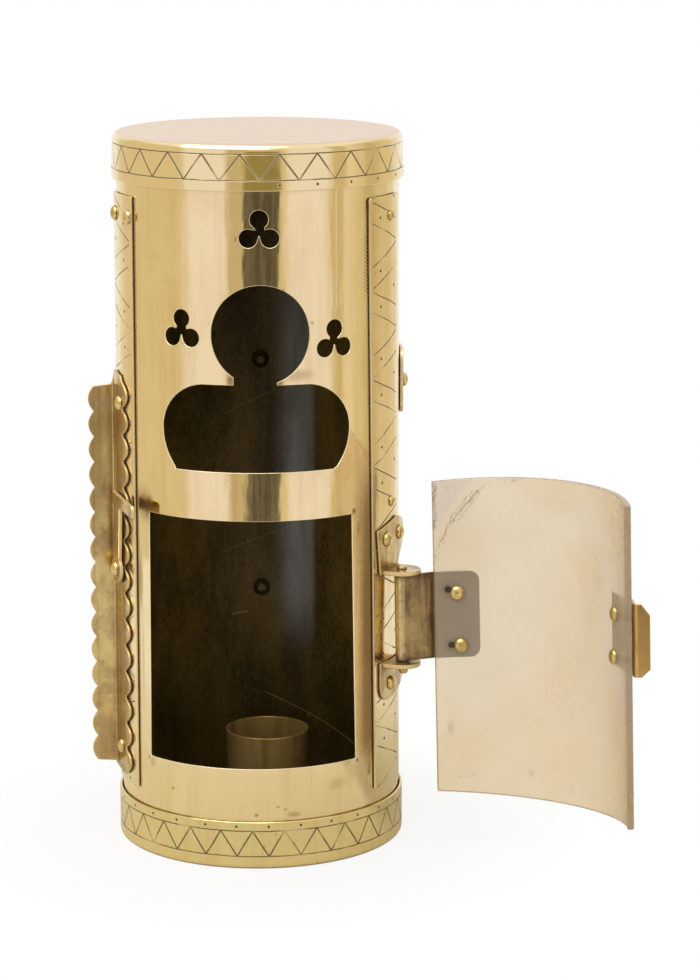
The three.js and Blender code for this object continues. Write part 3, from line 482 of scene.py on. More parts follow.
def smoked_wall(look):
    """Soot on the tube's inner wall, with one upright patch that has a clear coat and a painted
    grey reflection.
    """
    paint = look.paint
    inner = paint.step(look.radius, BODY_IN + 0.08, BODY_IN + 0.22, 1.0, 0.0)
    look.base = paint.mix(inner, look.base, inside_soot(look))
    look.rough = look.rough * (1.0 - inner) + inner * 0.45
    look.metal = look.metal * (1.0 - inner)
    sheen_patch = paint.span(look.angle, 155.0, 159.0, 163.0, 177.0) * paint.step(look.z, 46.0, 84.0)
    sheen_patch = sheen_patch * paint.step(look.streaks, 0.2, 0.6, 0.6, 1.0)
    # A painted grey reflection in the patch, where the coat also shines.
    look.cover(inner * sheen_patch, 0.62, PAINTED_SHEEN_GREY)
    look.sheen = inner * (sheen_patch * 0.5 + 0.02)


def smoked_tails(look):
    """Smoke on the tails of rivets, which end inside the tube."""
    tail = look.paint.step(look.radius, BODY_IN + 0.1, BODY_IN - 0.2)
    look.cover(tail, 1.0, SMOKED_TAIL, rough=0.15, metal=-0.6)


def tube_marks(look):
    """A drawn line below the cap with painted shade along it; brown stains with painted shade in
    corners and painted shadow and reflection beside the hinge and the latch; a painted reflection
    of the hinge strap on the right jamb; and file marks beside the right strip."""
    paint, angle, z = look.paint, look.angle, look.z
    # A dented line below the cap, with painted shade along it.
    wobble = (paint.noise(look.stretched(1.0, 0.2), 0.045, 3.0, 0.6) - 0.5) * 5.0
    crease = stroke(paint, abs(angle - 32.8 + wobble), 0.22, 0.5) * paint.step(z, 190.0, 204.0)
    look.cover(crease, 0.42, CREASE_SHADE_BROWN, height=-0.04)

    # Brown patches: stains, painted shade in corners, and painted shadow and reflection of the
    # hinge and the latch.
    stain_and_shade = 0.0
    for a0, z0, wide, tall, strength in TUBE_STAINS_AND_SHADE:
        away = paint.distance((angle - a0) / wide, (z - z0) / tall) + (look.fine - 0.5) * 0.9
        stain_and_shade = paint.high(stain_and_shade, paint.step(away, 1.25, 0.25) * strength)
    # The right jamb is browned by a painted reflection of the hinge strap.
    jamb_reflection = paint.step(angle + (look.drawn - 0.5) * 7.0, 42.0, 48.5)
    jamb_reflection = jamb_reflection * paint.step(angle, 55.0, 56.0, 1.0, 0.0) * paint.span(z, 26.0, 44.0, 120.0, 150.0)
    look.cover(paint.high(stain_and_shade, jamb_reflection * 0.78), 1.0, STAIN_AND_SHADE_BROWN, rough=0.35)

    file_mark = stroke(paint, nearest_copy(paint, z + angle * 0.5, 1.25), 0.18, 0.25)
    file_mark = file_mark * paint.span(angle, 47.3, 48.5, 52.0, 53.0)
    file_mark = file_mark * paint.span(z, 199.0, 201.0, 219.0, 221.0) * 0.8
    look.cover(file_mark, 1.0, OLD_BROWN, height=-0.05)


def lid_dull_and_painted_reflection(look):
    """The flat top of the cap is duller than its polished side, and pinker by a painted reflection
    of the pale backdrop.
    """
    lid = look.paint.step(look.z, HEIGHT - 0.7, HEIGHT - 0.2)
    # The pink tone is a painted reflection.
    look.cover(lid, 1.0, PINK_LID_REFLECTION, metal=-0.3)
    look.rough = look.rough * (1.0 - lid) + lid * 0.34


def brown_bloom(look):
    """Purple-brown bloom in clouds on the worn fittings."""
    bloom = look.paint.step(look.paint.noise(look.place, 0.085, 4.0, 0.6), 0.46, 0.66)
    look.cover(bloom, 0.6, BLOOM_BROWN, rough=0.10, metal=-0.15)


def strap_marks(look):
    """The barrel has a painted highlight; the upper and lower edges are painted darker, and the two
    spare holes are dark discs of painted shade."""
    paint = look.paint
    along, height, depth = paint.parts(look.flat)
    mottle = paint.noise(look.place, 0.45, 4.0, 0.65)
    # A painted highlight on the barrel.
    barrel_highlight = paint.step(along, 27.2, 28.4) * paint.step(mottle, 0.30, 0.55, 0.4, 1.0)
    look.cover(barrel_highlight, 0.7, BARREL_HIGHLIGHT_GOLD, rough=-0.06)
    # The upper and lower edges are painted darker.
    ragged = height + mottle * 4.0
    edges = paint.high(paint.step(ragged, 73.5, 69.5), paint.step(ragged, 98.0, 101.0))
    look.cover(edges, 0.75, DARK_EDGE_BROWN, rough=0.15, metal=-0.2)
    outer_face = paint.step(depth, STRAP_SHEET - 0.3, STRAP_SHEET - 0.1)
    # The spare holes are dark discs of painted shade.
    for a0, z0 in SPARE_HOLES:
        off = paint.distance(along - math.radians(a0 - STRAP_END) * STRAP_IN, height - z0)
        hole = stroke(paint, off, 1.1, 0.3) * outer_face
        look.cover(hole, 1.0, HOLE_SHADE_DARK)
        look.metal = look.metal * (1.0 - hole)


def brass(name, bright, deep, polish, tarnish=0.3, wear=0.5, dirt_and_shade_amount=0.6, metallic=1.0,
          cut_edge=CUT_EDGE, marks=None, engraving=None, lining=None):
    """Hand-worked sheet brass: a wavy polish drawn up and down the sheet, deeper patches of old
    tarnish, fine scratches, pits, engraved lines, cut edges that are worn pale, and brown dirt with
    painted shade in corners. A piece's own marks go on before its engraving, and a lining goes on
    last."""
    look = SheetLook(name, bright, polish, metallic)
    paint, place, fine = look.paint, look.place, look.fine

    cloudy = paint.noise(place, 0.045, 5.0, 0.62, 0.6)
    patches = paint.step(cloudy * 0.55 + fine * 0.2 + look.streaks * 0.25, 0.44, 0.66) * tarnish
    look.cover(patches, 1.0, deep, rough=0.16)
    look.cover(paint.step(look.drawn, 0.50, 0.68), tarnish * 0.8, deep)

    upright = paint.noise(look.stretched(0.10, 3.0), 1.0, 2.0, 0.5, 0.3)
    level = paint.noise(look.stretched(4.0, 0.35), 1.0, 2.0, 0.5, 0.3)
    hairs = paint.step(abs(upright - 0.5) + abs(level - 0.5), 0.0, 0.030, 1.0, 0.0) * wear
    look.cover(hairs, 0.18, deep, height=-0.003)

    spots = paint.add("ShaderNodeTexVoronoi", None, {"Vector": place, "Scale": 0.21})
    pit_size = paint.step(paint.noise(place, 0.06, 1.0), 0.54, 0.74, 0.0, 0.13)
    pits = paint.step(spots - pit_size, -0.02, 0.04, 1.0, 0.0) * wear
    look.cover(pits, 0.7, OLD_BROWN, rough=0.3, metal=-0.4)

    dents = paint.noise(look.stretched(0.16), 0.050, 2.0, 0.5) * 0.60
    ripple = paint.noise(look.stretched(0.35), 0.15, 2.0) * 0.110
    look.rough = look.rough + (fine - 0.5) * 0.10
    look.height = look.height + dents + ripple + (fine - 0.5) * 0.004

    if marks:
        marks(look)
    if engraving:
        look.cover(engraving(look), 0.92, ENGRAVED_BROWN, rough=0.3, metal=-0.85, height=-0.06)
    # Brown dirt and painted shade in corners, where ambient occlusion finds them.
    corner = paint.add(
        "ShaderNodeAmbientOcclusion", {"samples": 5}, {"Distance": 3.0 * MM}, out="AO",
    )
    dirt_and_shade = paint.step(corner + (fine - 0.5) * 0.5, 0.74, 0.30) * dirt_and_shade_amount
    worn = paint.step(look.wall, 0.0, 0.35) * (1.0 - dirt_and_shade)
    look.cover(worn, 0.8, cut_edge, rough=0.16, metal=-0.35)
    look.cover(dirt_and_shade, 0.85, OLD_BROWN, rough=0.25, metal=-0.45)
    if lining:
        lining(look)
    look.rough = paint.high(look.rough, 0.05)
    return look.finished({
        "Metallic": paint.high(look.metal, 0.0), "Specular IOR Level": 0.14,
        "Coat Weight": look.sheen, "Coat Roughness": 0.13,
    })


# Horn.

MILKY_HORN = (0.87, 0.745, 0.565)
CLOUDED_HORN = (0.84, 0.68, 0.455)
LOWER_HORN = (0.87, 0.69, 0.43)
YELLOWED_HORN = (0.85, 0.66, 0.34)
PALE_HORN = (0.80, 0.69, 0.56)
HORN_THREAD = (0.72, 0.55, 0.36)
SHADED_HORN = (0.68, 0.52, 0.32)
BLEACHED_HORN = (0.70, 0.62, 0.55)
SPLIT_BROWN = (0.150, 0.088, 0.045)
HOLE_SMEAR = (0.42, 0.33, 0.25)
HOLE_SHADE_BROWN = (0.050, 0.032, 0.012)
HORN_EDGE = (0.66, 0.46, 0.28)

# Marks on the horn: two places (angle, height), half width in millimetres and strength.
HORN_SPLITS = (
    ((31.8, 131.0), (39.5, 122.0), 0.13, 0.55),
    ((34.6, 129.0), (47.0, 115.0), 0.20, 0.85),
    ((36.5, 128.5), (48.0, 115.5), 0.12, 0.60),
    ((33.8, 127.5), (45.0, 114.8), 0.12, 0.45),
    ((46.0, 116.5), (50.5, 109.5), 0.18, 0.85),
    ((49.5, 112.0), (53.5, 102.0), 0.12, 0.60),
    ((47.5, 112.0), (52.5, 101.0), 0.10, 0.45),
    ((51.9, 131.0), (52.1, 114.0), 0.40, 0.80),
    ((46.0, 129.0), (47.2, 129.6), 0.36, 0.7),
    ((46.2, 127.0), (46.9, 127.2), 0.30, 0.6),
    ((20.0, 132.6), (22.0, 131.2), 0.5, 0.5),
    ((47.0, 40.0), (47.2, 45.5), 0.8, 0.30),
    ((46.0, 24.6), (37.0, 25.6), 0.12, 0.35),
    ((14.2, 27.2), (16.8, 27.2), 0.8, 0.45),
    ((14.4, 27.8), (16.4, 27.6), 0.28, 0.6),
    ((-3.5, 22.5), (-2.2, 25.0), 0.6, 0.22),
    ((-8.0, 113.0), (-7.7, 113.2), 0.3, 0.5),
)


def horn_finish(name):
    """Pressed horn: cloudy, milky and pinkish, with very faint threads, a split with dark fibres
    near the hinge edge and a satin surface."""
    look = Look(name, MILKY_HORN, 0.27)
    paint, flat = look.paint, look.flat
    across, z, depth = paint.parts(flat)
    cloud = paint.noise(paint.scaled(flat, (0.030, 0.020, 0.03)), 1.0, 3.0, 0.5, 0.5)
    look.cover(paint.step(cloud, 0.36, 0.66), 1.0, CLOUDED_HORN)
    look.cover(paint.step(z, 84.0, 24.0), 0.35, LOWER_HORN)
    free_corner = paint.step(across, arc(-18.0), arc(-50.0)) * paint.step(z, 66.0, 26.0)
    look.cover(free_corner, 0.28, YELLOWED_HORN)
    hinge_corner = paint.step(across, arc(30.0), arc(50.0)) * paint.step(z, 100.0, 122.0)
    look.cover(hinge_corner, 0.4, PALE_HORN)
    warp = paint.noise(paint.scaled(flat, (0.9, 0.030, 0.4)), 1.0, 3.0, 0.6)
    weft = paint.noise(paint.scaled(flat, (0.035, 0.8, 0.4)), 1.0, 3.0, 0.6)
    threads = paint.high(paint.step(warp, 0.52, 0.70), paint.step(weft, 0.54, 0.70) * 0.8)
    look.cover(threads, 0.02, HORN_THREAD)
    look.cover(paint.step(paint.noise(flat, 0.05, 2.0, 0.5), 0.35, 0.85), 0.14, SHADED_HORN)

    # The split runs from the upper edge down to the hinge edge, with dark fibres beside it.
    marks = 0.0
    wander = (paint.noise(flat, 0.22, 4.0, 0.7) - 0.5) * 4.0
    threadbare = paint.noise(paint.scaled(flat, (1.0, 0.5, 1.0)), 1.2, 3.0, 0.7)
    frayed = paint.step(threadbare, 0.36, 0.54)
    for (a0, z0), (a1, z1), width, strength in HORN_SPLITS:
        along, beside, length = beside_line(across, z, (arc(a0), z0), (arc(a1), z1))
        on = paint.span(along, -0.5, 1.5, length - 1.5, length + 0.5)
        split = stroke(paint, abs(beside + wander), width, width * 1.6)
        marks = paint.high(marks, split * on * frayed * strength)
    corner = paint.step(across + (z - HORN_TOP) * 0.74, arc(36.0), arc(39.5))
    corner = corner * paint.step(z, 102.0, 108.0)
    dots = paint.step(paint.noise(flat, 1.5, 3.0, 0.7), 0.63, 0.70) * corner * 0.5
    marks = paint.high(marks, dots)
    look.cover(corner, 0.45, BLEACHED_HORN)
    look.cover(marks, 1.0, SPLIT_BROWN, rough=0.2, height=-0.02)

    inner_face = paint.step(depth, 0.3, 0.1)
    # The spare holes are a brown smear round a dark disc of painted shade.
    for a0, z0 in SPARE_HOLES:
        off = paint.distance(across - arc(a0), z - z0)
        look.cover(paint.step(off + wander * 0.3, 3.6, 1.4) * inner_face, 0.35, HOLE_SMEAR)
        look.cover(stroke(paint, off, 1.2, 0.4) * inner_face, 1.0, HOLE_SHADE_BROWN)
    look.cover(look.wall, 0.3, HORN_EDGE)
    look.cover(paint.step(across, arc(-50.6), arc(-51.4)), 0.22, HORN_EDGE)
    look.rough = look.rough + (cloud - 0.5) * 0.06
    soft = paint.noise(paint.scaled(flat, (0.030, 0.022, 0.03)), 1.0, 1.0, 0.4)
    look.height = look.height + soft * 0.4
    return look.finished({"IOR": 1.54, "Transmission Weight": 0.80})


# Meshes.

def unit(rows):
    """Rows brought to length one; a row of no length stays as it is."""
    return rows / np.maximum(np.linalg.norm(rows, axis=1, keepdims=True), 1e-12)


def make_piece(name, points, groups, normals, wall, flat, material, body, slot, nodes):
    """A smooth closed mesh from points in millimetres, face groups and one normal a point."""
    mesh = bpy.data.meshes.new(name)
    loops = np.concatenate([group.ravel() for group in groups]).astype(np.int32)
    sizes = np.concatenate([np.full(len(group), group.shape[1]) for group in groups])
    starts = np.concatenate([[0], np.cumsum(sizes)[:-1]]).astype(np.int32)
    mesh.vertices.add(len(points))
    mesh.vertices.foreach_set("co", (points * MM).astype(np.float32).ravel())
    mesh.loops.add(len(loops))
    mesh.loops.foreach_set("vertex_index", loops)
    mesh.polygons.add(len(sizes))
    mesh.polygons.foreach_set("loop_start", starts)
    mesh.polygons.foreach_set("use_smooth", np.ones(len(sizes), bool))
    mesh.update(calc_edges=True)
    mesh.attributes.new("wall", "FLOAT", "POINT").data.foreach_set(
        "value", wall.astype(np.float32),
    )
    mesh.attributes.new("flat", "FLOAT_VECTOR", "POINT").data.foreach_set(
        "vector", flat.astype(np.float32).ravel(),
    )
    mesh.normals_split_custom_set_from_vertices(unit(normals).tolist())
    mesh.materials.append(material)
    piece = bpy.data.objects.new(name, mesh)
    bpy.context.scene.collection.objects.link(piece)
    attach(piece, body)
    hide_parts(*nodes)
    return piece


# Distances used in cutting and placing sheets, in millimetres, and the least turn of a corner.
FAR_OFF = 1000.0
CONTOUR_MARGIN = 4.0
SHARP_TURN = math.radians(24)
TINY = 0.01
LEAST_FILLET, SMALL_FILLET = 0.02, 0.3


def to_contour(points, contour):
    """Signed distance of flat points to a closed outline, positive inside, and the nearest point
    on it: the least over all its edges, with the sign from how many edges a level ray crosses."""
    start = contour[None, :, :]
    edge = np.roll(contour, -1, 0)[None] - start
    away = points[:, None, :] - start
    t = np.clip((away * edge).sum(-1) / np.maximum((edge ** 2).sum(-1), 1e-12), 0, 1)
    near = start + edge * t[..., None]
    squared = ((points[:, None, :] - near) ** 2).sum(-1)
    best = squared.argmin(1)
    rows = np.arange(len(points))
    y0, y1 = contour[:, 1], np.roll(contour[:, 1], -1)
    x0, x1 = contour[:, 0], np.roll(contour[:, 0], -1)
    px, py = points[:, :1], points[:, 1:]
    crosses = (y0 > py) != (y1 > py)
    level = x0 + (py - y0) * (x1 - x0) / np.where(y1 == y0, 1e-9, y1 - y0)
    inside = (crosses & (px < level)).sum(1) % 2 == 1
    return np.where(inside, 1.0, -1.0) * np.sqrt(squared[rows, best]), near[rows, best]


def material_distance(points, outline, holes):
    """Signed distance into the sheet, which is inside the outline and outside its holes."""
    distance = np.full(len(points), FAR_OFF)
    nearest = points.copy()
    for contour, sign in [(outline, 1.0)] * (outline is not None) + [(h, -1.0) for h in holes]:
        low, high = contour.min(0) - CONTOUR_MARGIN, contour.max(0) + CONTOUR_MARGIN
        close = ((points > low) & (points < high)).all(1)
        d = np.full(len(points), -sign * FAR_OFF)
        spot = points.copy()
        if close.any():
            found, spot[close] = to_contour(points[close], contour)
            d[close] = found * sign
        nearer = d < distance
        distance = np.where(nearer, d, distance)
        nearest = np.where(nearer[:, None], spot, nearest)
    return distance, nearest


def cut_grid(u_lines, v_lines, outline, holes, wrap=None):
    """A grid of (u, v) points cut to an outline with holes. Of every grid line and diagonal that
    crosses an edge, the nearer end moves onto the edge, and sharp corners take the nearest point.
    Returns the points, the quads and the edges that are left open, material on their left."""
    u, v = np.meshgrid(u_lines, v_lines, indexing="ij")
    shape = u.shape
    points = np.stack([u, v], -1).reshape(-1, 2)
    distance, nearest = material_distance(points, outline, holes)
    field = distance.reshape(shape)
    mark = np.zeros(shape, bool)
    # Neighbours along u, along v and along both diagonals.
    for first, second in (
        ((slice(0, -1), slice(None)), (slice(1, None), slice(None))),
        ((slice(None), slice(0, -1)), (slice(None), slice(1, None))),
        ((slice(0, -1), slice(0, -1)), (slice(1, None), slice(1, None))),
        ((slice(0, -1), slice(1, None)), (slice(1, None), slice(0, -1))),
    ):
        a, b = field[first], field[second]
        crosses = (a > 0) != (b > 0)
        a_nearer = np.abs(a) <= np.abs(b)
        mark[first] |= crosses & a_nearer
        mark[second] |= crosses & ~a_nearer
    mark = mark.ravel()
    points[mark] = nearest[mark]
    distance[mark] = 0.0
    for contour in ([outline] if outline is not None else []) + list(holes):
        ahead = np.roll(contour, -1, 0) - contour
        behind = contour - np.roll(contour, 1, 0)
        turn = np.abs(np.arctan2(
            behind[:, 0] * ahead[:, 1] - behind[:, 1] * ahead[:, 0], (behind * ahead).sum(1),
        ))
        corners = contour[turn > SHARP_TURN]
        if len(corners):
            closest = ((points[None] - corners[:, None]) ** 2).sum(-1).argmin(1)
            points[closest] = corners
            distance[closest] = 0.0
    index = np.arange(len(points)).reshape(shape)
    if wrap:
        index = np.concatenate([index, index[:1]], 0)
    quads = np.stack(
        [index[:-1, :-1], index[1:, :-1], index[1:, 1:], index[:-1, 1:]], -1,
    ).reshape(-1, 4)
    kept = (distance[quads] >= 0).all(1)
    unsure = kept & (distance[quads] == 0).all(1)
    if unsure.any():
        middles = points[quads[unsure]].mean(1)
        kept[unsure] = material_distance(middles, outline, holes)[0] > 0
    quads = quads[kept]
    used = np.unique(quads)
    renumber = np.zeros(len(points), int)
    renumber[used] = np.arange(len(used))
    quads = renumber[quads]
    points = points[used]
    edges = np.concatenate([quads[:, [i, (i + 1) % 4]] for i in range(4)])
    code = edges[:, 0] * len(points) + edges[:, 1]
    back = edges[:, 1] * len(points) + edges[:, 0]
    return points, quads, edges[~np.isin(code, back)]


def sheet_arrays(place, thickness, u_lines, v_lines, outline=None, holes=(), wrap=None,
                 edge=0.12):
    """A closed sheet: the cut grid carried to both faces, its cut edges rounded by a ring at the
    outline on each side. Face normals come from small steps of the placing function, edge normals
    point out of the material."""
    outline = None if outline is None else np.asarray(outline, float)
    holes = [np.asarray(hole, float) for hole in holes]
    points, quads, rim = cut_grid(u_lines, v_lines, outline, holes, wrap)
    run = points[rim[:, 1]] - points[rim[:, 0]]
    if wrap:
        run[:, 0] = (run[:, 0] + wrap / 2) % wrap - wrap / 2
    left = np.stack([-run[:, 1], run[:, 0]], -1)
    inward = np.zeros_like(points)
    np.add.at(inward, rim[:, 0], left)
    np.add.at(inward, rim[:, 1], left)
    on_rim = np.unique(rim)
    inward[on_rim] = unit(inward[on_rim])
    inset = points + inward * edge

    def frame_at(flat, depth):
        """The placed points and, there, the directions of u, of v and out of the sheet."""
        u, v = flat[:, 0], flat[:, 1]
        here = place(u, v, depth)
        along = place(u + TINY, v, depth) - place(u - TINY, v, depth)
        up = place(u, v + TINY, depth) - place(u, v - TINY, depth)
        return here, unit(along), unit(up), unit(np.cross(along, up))

    top, _, _, out = frame_at(inset, thickness)
    low, _, _, out_low = frame_at(inset, 0.0)
    flip = ((top - low) * out).sum() < 0
    if flip:
        out, out_low = -out, -out_low
    slot_of = np.full(len(points), -1)
    slot_of[on_rim] = np.arange(len(on_rim))
    rim_points = points[on_rim]
    rings = []
    for depth in (thickness - edge, edge):
        here, along, up, _ = frame_at(rim_points, depth)
        side = -(along * inward[on_rim, :1] + up * inward[on_rim, 1:])
        rings.append((here, side))
    count, ring = len(points), len(on_rim)
    vertices = np.concatenate([top, rings[0][0], rings[1][0], low])
    normals = np.concatenate([out, rings[0][1], rings[1][1], -out_low])
    wall = np.concatenate([np.zeros(count), np.ones(2 * ring), np.zeros(count)])
    depths = np.concatenate([
        np.full(count, thickness), np.full(ring, thickness), np.zeros(ring), np.zeros(count),
    ])
    flat = np.concatenate([points, rim_points, rim_points, points])
    flat = np.column_stack([flat, depths])
    # Both faces, and between them three rows of quads along every edge.
    a, b = rim[:, 0], rim[:, 1]
    ra, rb = slot_of[a] + count, slot_of[b] + count
    under = count + 2 * ring
    groups = [
        quads,
        np.stack([ra, rb, b, a], -1),
        np.stack([ra + ring, rb + ring, rb, ra], -1),
        np.stack([a + under, b + under, rb + ring, ra + ring], -1),
        quads[:, ::-1] + under,
    ]
    if flip:
        groups = [group[:, ::-1] for group in groups]
    return vertices, groups, normals, wall, flat


def joined(*parts):
    """Several closed shells as the arrays of one mesh."""
    vertices, normals, walls, flats, groups = [], [], [], [], []
    start = 0
    for points, faces, normal, wall, flat in parts:
        vertices.append(points)
        normals.append(normal)
        walls.append(wall)
        flats.append(flat)
        groups += [group + start for group in faces]
        start += len(points)
    return (
        np.concatenate(vertices), groups, np.concatenate(normals), np.concatenate(walls),
        np.concatenate(flats),
    )


def lines(*spans):
    """Grid lines through spans of (start, end, step), each end met exactly."""
    runs = []
    for start, end, step in spans:
        count = max(1, round(abs(end - start) / step))
        runs.append(np.linspace(start, end, count + 1)[:-1])
    return np.concatenate(runs + [[spans[-1][1]]])


def grid_over(outline, margin, step):
    """Grid lines both ways over an outline, with a margin round it."""
    low, high = outline.min(0) - margin, outline.max(0) + margin
    return lines((low[0], high[0], step)), lines((low[1], high[1], step))


def round_end(u, low, high, corner, way, steps=10):
    """The end of a drawn strip at u, from its lower edge to its upper one, with both corners
    rounded; way is 1 where the strip goes on to a larger u and -1 where it goes on to a smaller."""
    a = np.radians(np.linspace(0, 90, steps))
    x, y = u + way * (corner - corner * np.sin(a)), corner - corner * np.cos(a)
    return np.concatenate([np.stack([x, low + y], -1), np.stack([x, high - y], -1)[::-1]])


def round_place(inner, lift=None):
    """Flat (arc length, height) rolled round the lantern's axis, its inner face at that radius."""
    def place(u, v, depth):
        a = u / BODY
        r = inner + depth + (lift(u, v) if lift else 0.0)
        return np.stack([r * np.sin(a), -r * np.cos(a), v + 0.0 * u], -1)
    return place


AT_PIN = Matrix.Translation((*PIN, PIN_MIDDLE))
DOOR_TURN = AT_PIN @ Matrix.Rotation(math.radians(DOOR_OPEN), 4, PIN_AXIS) @ AT_PIN.inverted()


def in_door(place):
    """The same place with the door turned open about its leaning pin."""
    turn = np.array(DOOR_TURN)

    def opened(u, v, depth):
        return place(u, v, depth) @ turn[:3, :3].T + turn[:3, 3]
    return opened


def along_path(path, middle, side):
    """Flat (length along a plan path, height), with the sheet's depth across the path. The path
    is a close list of plan points, its heading is a running mean, and side is which hand of it
    the outer face is on. Returns the placing function and the path's length."""
    path = np.asarray(path, float)
    steps = np.linalg.norm(np.diff(path, axis=0), axis=1)
    length = np.concatenate([[0.0], np.cumsum(steps)])
    heading = np.gradient(path, length, axis=0)
    reach = 4
    kernel = np.ones(2 * reach + 1) / (2 * reach + 1)
    padded = np.pad(heading, ((reach, reach), (0, 0)), mode="edge")
    smooth = np.stack([np.convolve(padded[:, i], kernel, "valid") for i in range(2)], -1)
    heading = unit(smooth)
    across = np.stack([heading[:, 1], -heading[:, 0]], -1) * side

    def place(u, v, depth):
        x = np.interp(u, length, path[:, 0]) + np.minimum(u, 0) * heading[0, 0]
        y = np.interp(u, length, path[:, 1]) + np.minimum(u, 0) * heading[0, 1]
        nx, ny = np.interp(u, length, across[:, 0]), np.interp(u, length, across[:, 1])
        offset = depth - middle
        return np.stack([x + nx * offset, y + ny * offset, v + 0.0 * u], -1)
    return place, length[-1]


def plan_arc(centre, radius, start, end, steps):
    """Plan points on a circle, angles in degrees from +X."""
    a = np.radians(np.linspace(start, end, steps))
    return np.stack([centre[0] + radius * np.cos(a), centre[1] + radius * np.sin(a)], -1)


def bent_out(radius, bend, start, edge, reach):
    """A plan path along a circle from one angle, round a soft bend and out square to the lantern
    at the edge's angle. Returns the path and the length at which its bend is half done."""
    turn_at = edge + math.degrees(math.asin(bend / (radius + bend)))
    along = plan_arc((0, 0), radius, start - 90, turn_at - 90, 70)
    a, b = math.radians(turn_at - 90), math.radians(edge - 90)
    centre = (radius + bend) * np.array([math.cos(a), math.sin(a)])
    corner = plan_arc(centre, bend, turn_at + 90, edge + 180, 24)
    out = np.array([math.cos(b), math.sin(b)])
    wing = corner[-1] + np.linspace(0, reach - corner[-1] @ out, 30)[1:, None] * out
    path = np.concatenate([along, corner[1:], wing])
    return path, math.radians(start - turn_at) * radius + bend * math.pi / 4


def filleted(corners, steps=5):
    """A closed or axis-to-axis profile of (radius, height, fillet) with its corners rounded and
    the outward normal of each point. The material lies on the left of the way round."""
    corners = [np.array(c, float) for c in corners]
    points, normals = [], []
    for i, corner in enumerate(corners):
        here, fillet = corner[:2], corner[2]
        before = corners[i - 1][:2] if i else None
        after = corners[i + 1][:2] if i + 1 < len(corners) else None
        if before is None or after is None:
            other = after if before is None else before
            d = (other - here) if before is None else (here - other)
            d = d / np.linalg.norm(d)
            points.append(here)
            normals.append([d[1], -d[0]])
            continue
        d0 = (here - before) / np.linalg.norm(here - before)
        d1 = (after - here) / np.linalg.norm(after - here)
        n0 = np.array([d0[1], -d0[0]])
        turn = math.atan2(d0[0] * d1[1] - d0[1] * d1[0], float(d0 @ d1))
        fillet = max(fillet, LEAST_FILLET)
        reach = fillet * math.tan(abs(turn) / 2)
        centre = here - d0 * reach - n0 * fillet * math.copysign(1, turn)
        for t in np.linspace(0, 1, steps if fillet > SMALL_FILLET else 3):
            a = turn * t
            n = np.array([
                n0[0] * math.cos(a) - n0[1] * math.sin(a),
                n0[0] * math.sin(a) + n0[1] * math.cos(a),
            ])
            points.append(centre + n * fillet * math.copysign(1, turn))
            normals.append(n)
    return np.array(points), np.array(normals)


def turned_arrays(corners, segments, closed=False, round_off=None):
    """A lathe turned round +Z from a profile that starts and ends on the axis, or is closed."""
    if closed:
        corners = [*corners, corners[0]]
        points, normals = filleted([corners[-2], *corners, corners[1]])
        points, normals = points[1:-1], normals[1:-1]
    else:
        points, normals = filleted(corners)
    count = len(points)
    a = np.linspace(0, 2 * math.pi, segments, endpoint=False)[:, None]
    r, z = points[:, 0][None], points[:, 1][None]
    if round_off is not None:
        r = r * (1 + round_off(a, z))
    xyz = np.stack([r * np.cos(a), r * np.sin(a), z + 0 * a], -1).reshape(-1, 3)
    nr, nz = normals[:, 0][None], normals[:, 1][None]
    out = np.stack([nr * np.cos(a), nr * np.sin(a), nz + 0 * a], -1).reshape(-1, 3)
    index = np.arange(segments * count).reshape(segments, count)
    ahead = np.roll(index, -1, 0)
    first, last = (0, count - 1) if closed else (1, count - 2)
    quads = np.stack([
        index[:, first:last], ahead[:, first:last],
        ahead[:, first + 1:last + 1], index[:, first + 1:last + 1],
    ], -1).reshape(-1, 4)
    groups = [quads]
    if not closed:
        bottom = np.stack([np.full(segments, index[0, 0]), ahead[:, 1], index[:, 1]], -1)
        tip = np.stack([index[:, -2], ahead[:, -2], np.full(segments, index[0, -1])], -1)
        groups += [bottom, tip]
        keep = np.ones(len(xyz), bool)
        keep[index[1:, [0, -1]].ravel()] = False
        renumber = np.cumsum(keep) - 1
        groups = [renumber[group] for group in groups]
        xyz, out = xyz[keep], out[keep]
    return xyz, groups, out, np.zeros(len(xyz)), xyz.copy()


def moved(arrays, matrix):
    """Arrays of a mesh carried by a rigid matrix, in millimetres."""
    points, groups, normals, wall, flat = arrays
    m = np.array(matrix)
    return points @ m[:3, :3].T + m[:3, 3], groups, normals @ m[:3, :3].T, wall, flat


def on_lantern(angle, z):
    """Axes at a height on the lantern's axis: x along the round, y up, z outwards at the angle."""
    a = math.radians(angle)
    along = Vector((math.cos(a), math.sin(a), 0))
    out = Vector((math.sin(a), -math.cos(a), 0))
    up = Vector((0, 0, 1))
    m = Matrix((along, up, out)).transposed().to_4x4()
    m.translation = Vector((0, 0, z))
    return m


# Cut-outs of the body, drawn flat.

def smooth_curve(start, control_a, control_b, end, steps=14):
    """Points of a cubic Bezier curve."""
    t = np.linspace(0, 1, steps, endpoint=False)[:, None]
    p = [np.array(c, float)[None] for c in (start, control_a, control_b, end)]
    return (
        (1 - t) ** 3 * p[0] + 3 * (1 - t) ** 2 * t * p[1] + 3 * (1 - t) * t ** 2 * p[2]
        + t ** 3 * p[3]
    )


def arched(start, control, end, steps=12):
    """Points of a quadratic curve, as the CAD outlines use."""
    a, b, c = (np.array(p, float) for p in (start, control, end))
    return smooth_curve(a, a + (b - a) * 2 / 3, c + (b - c) * 2 / 3, c, steps)


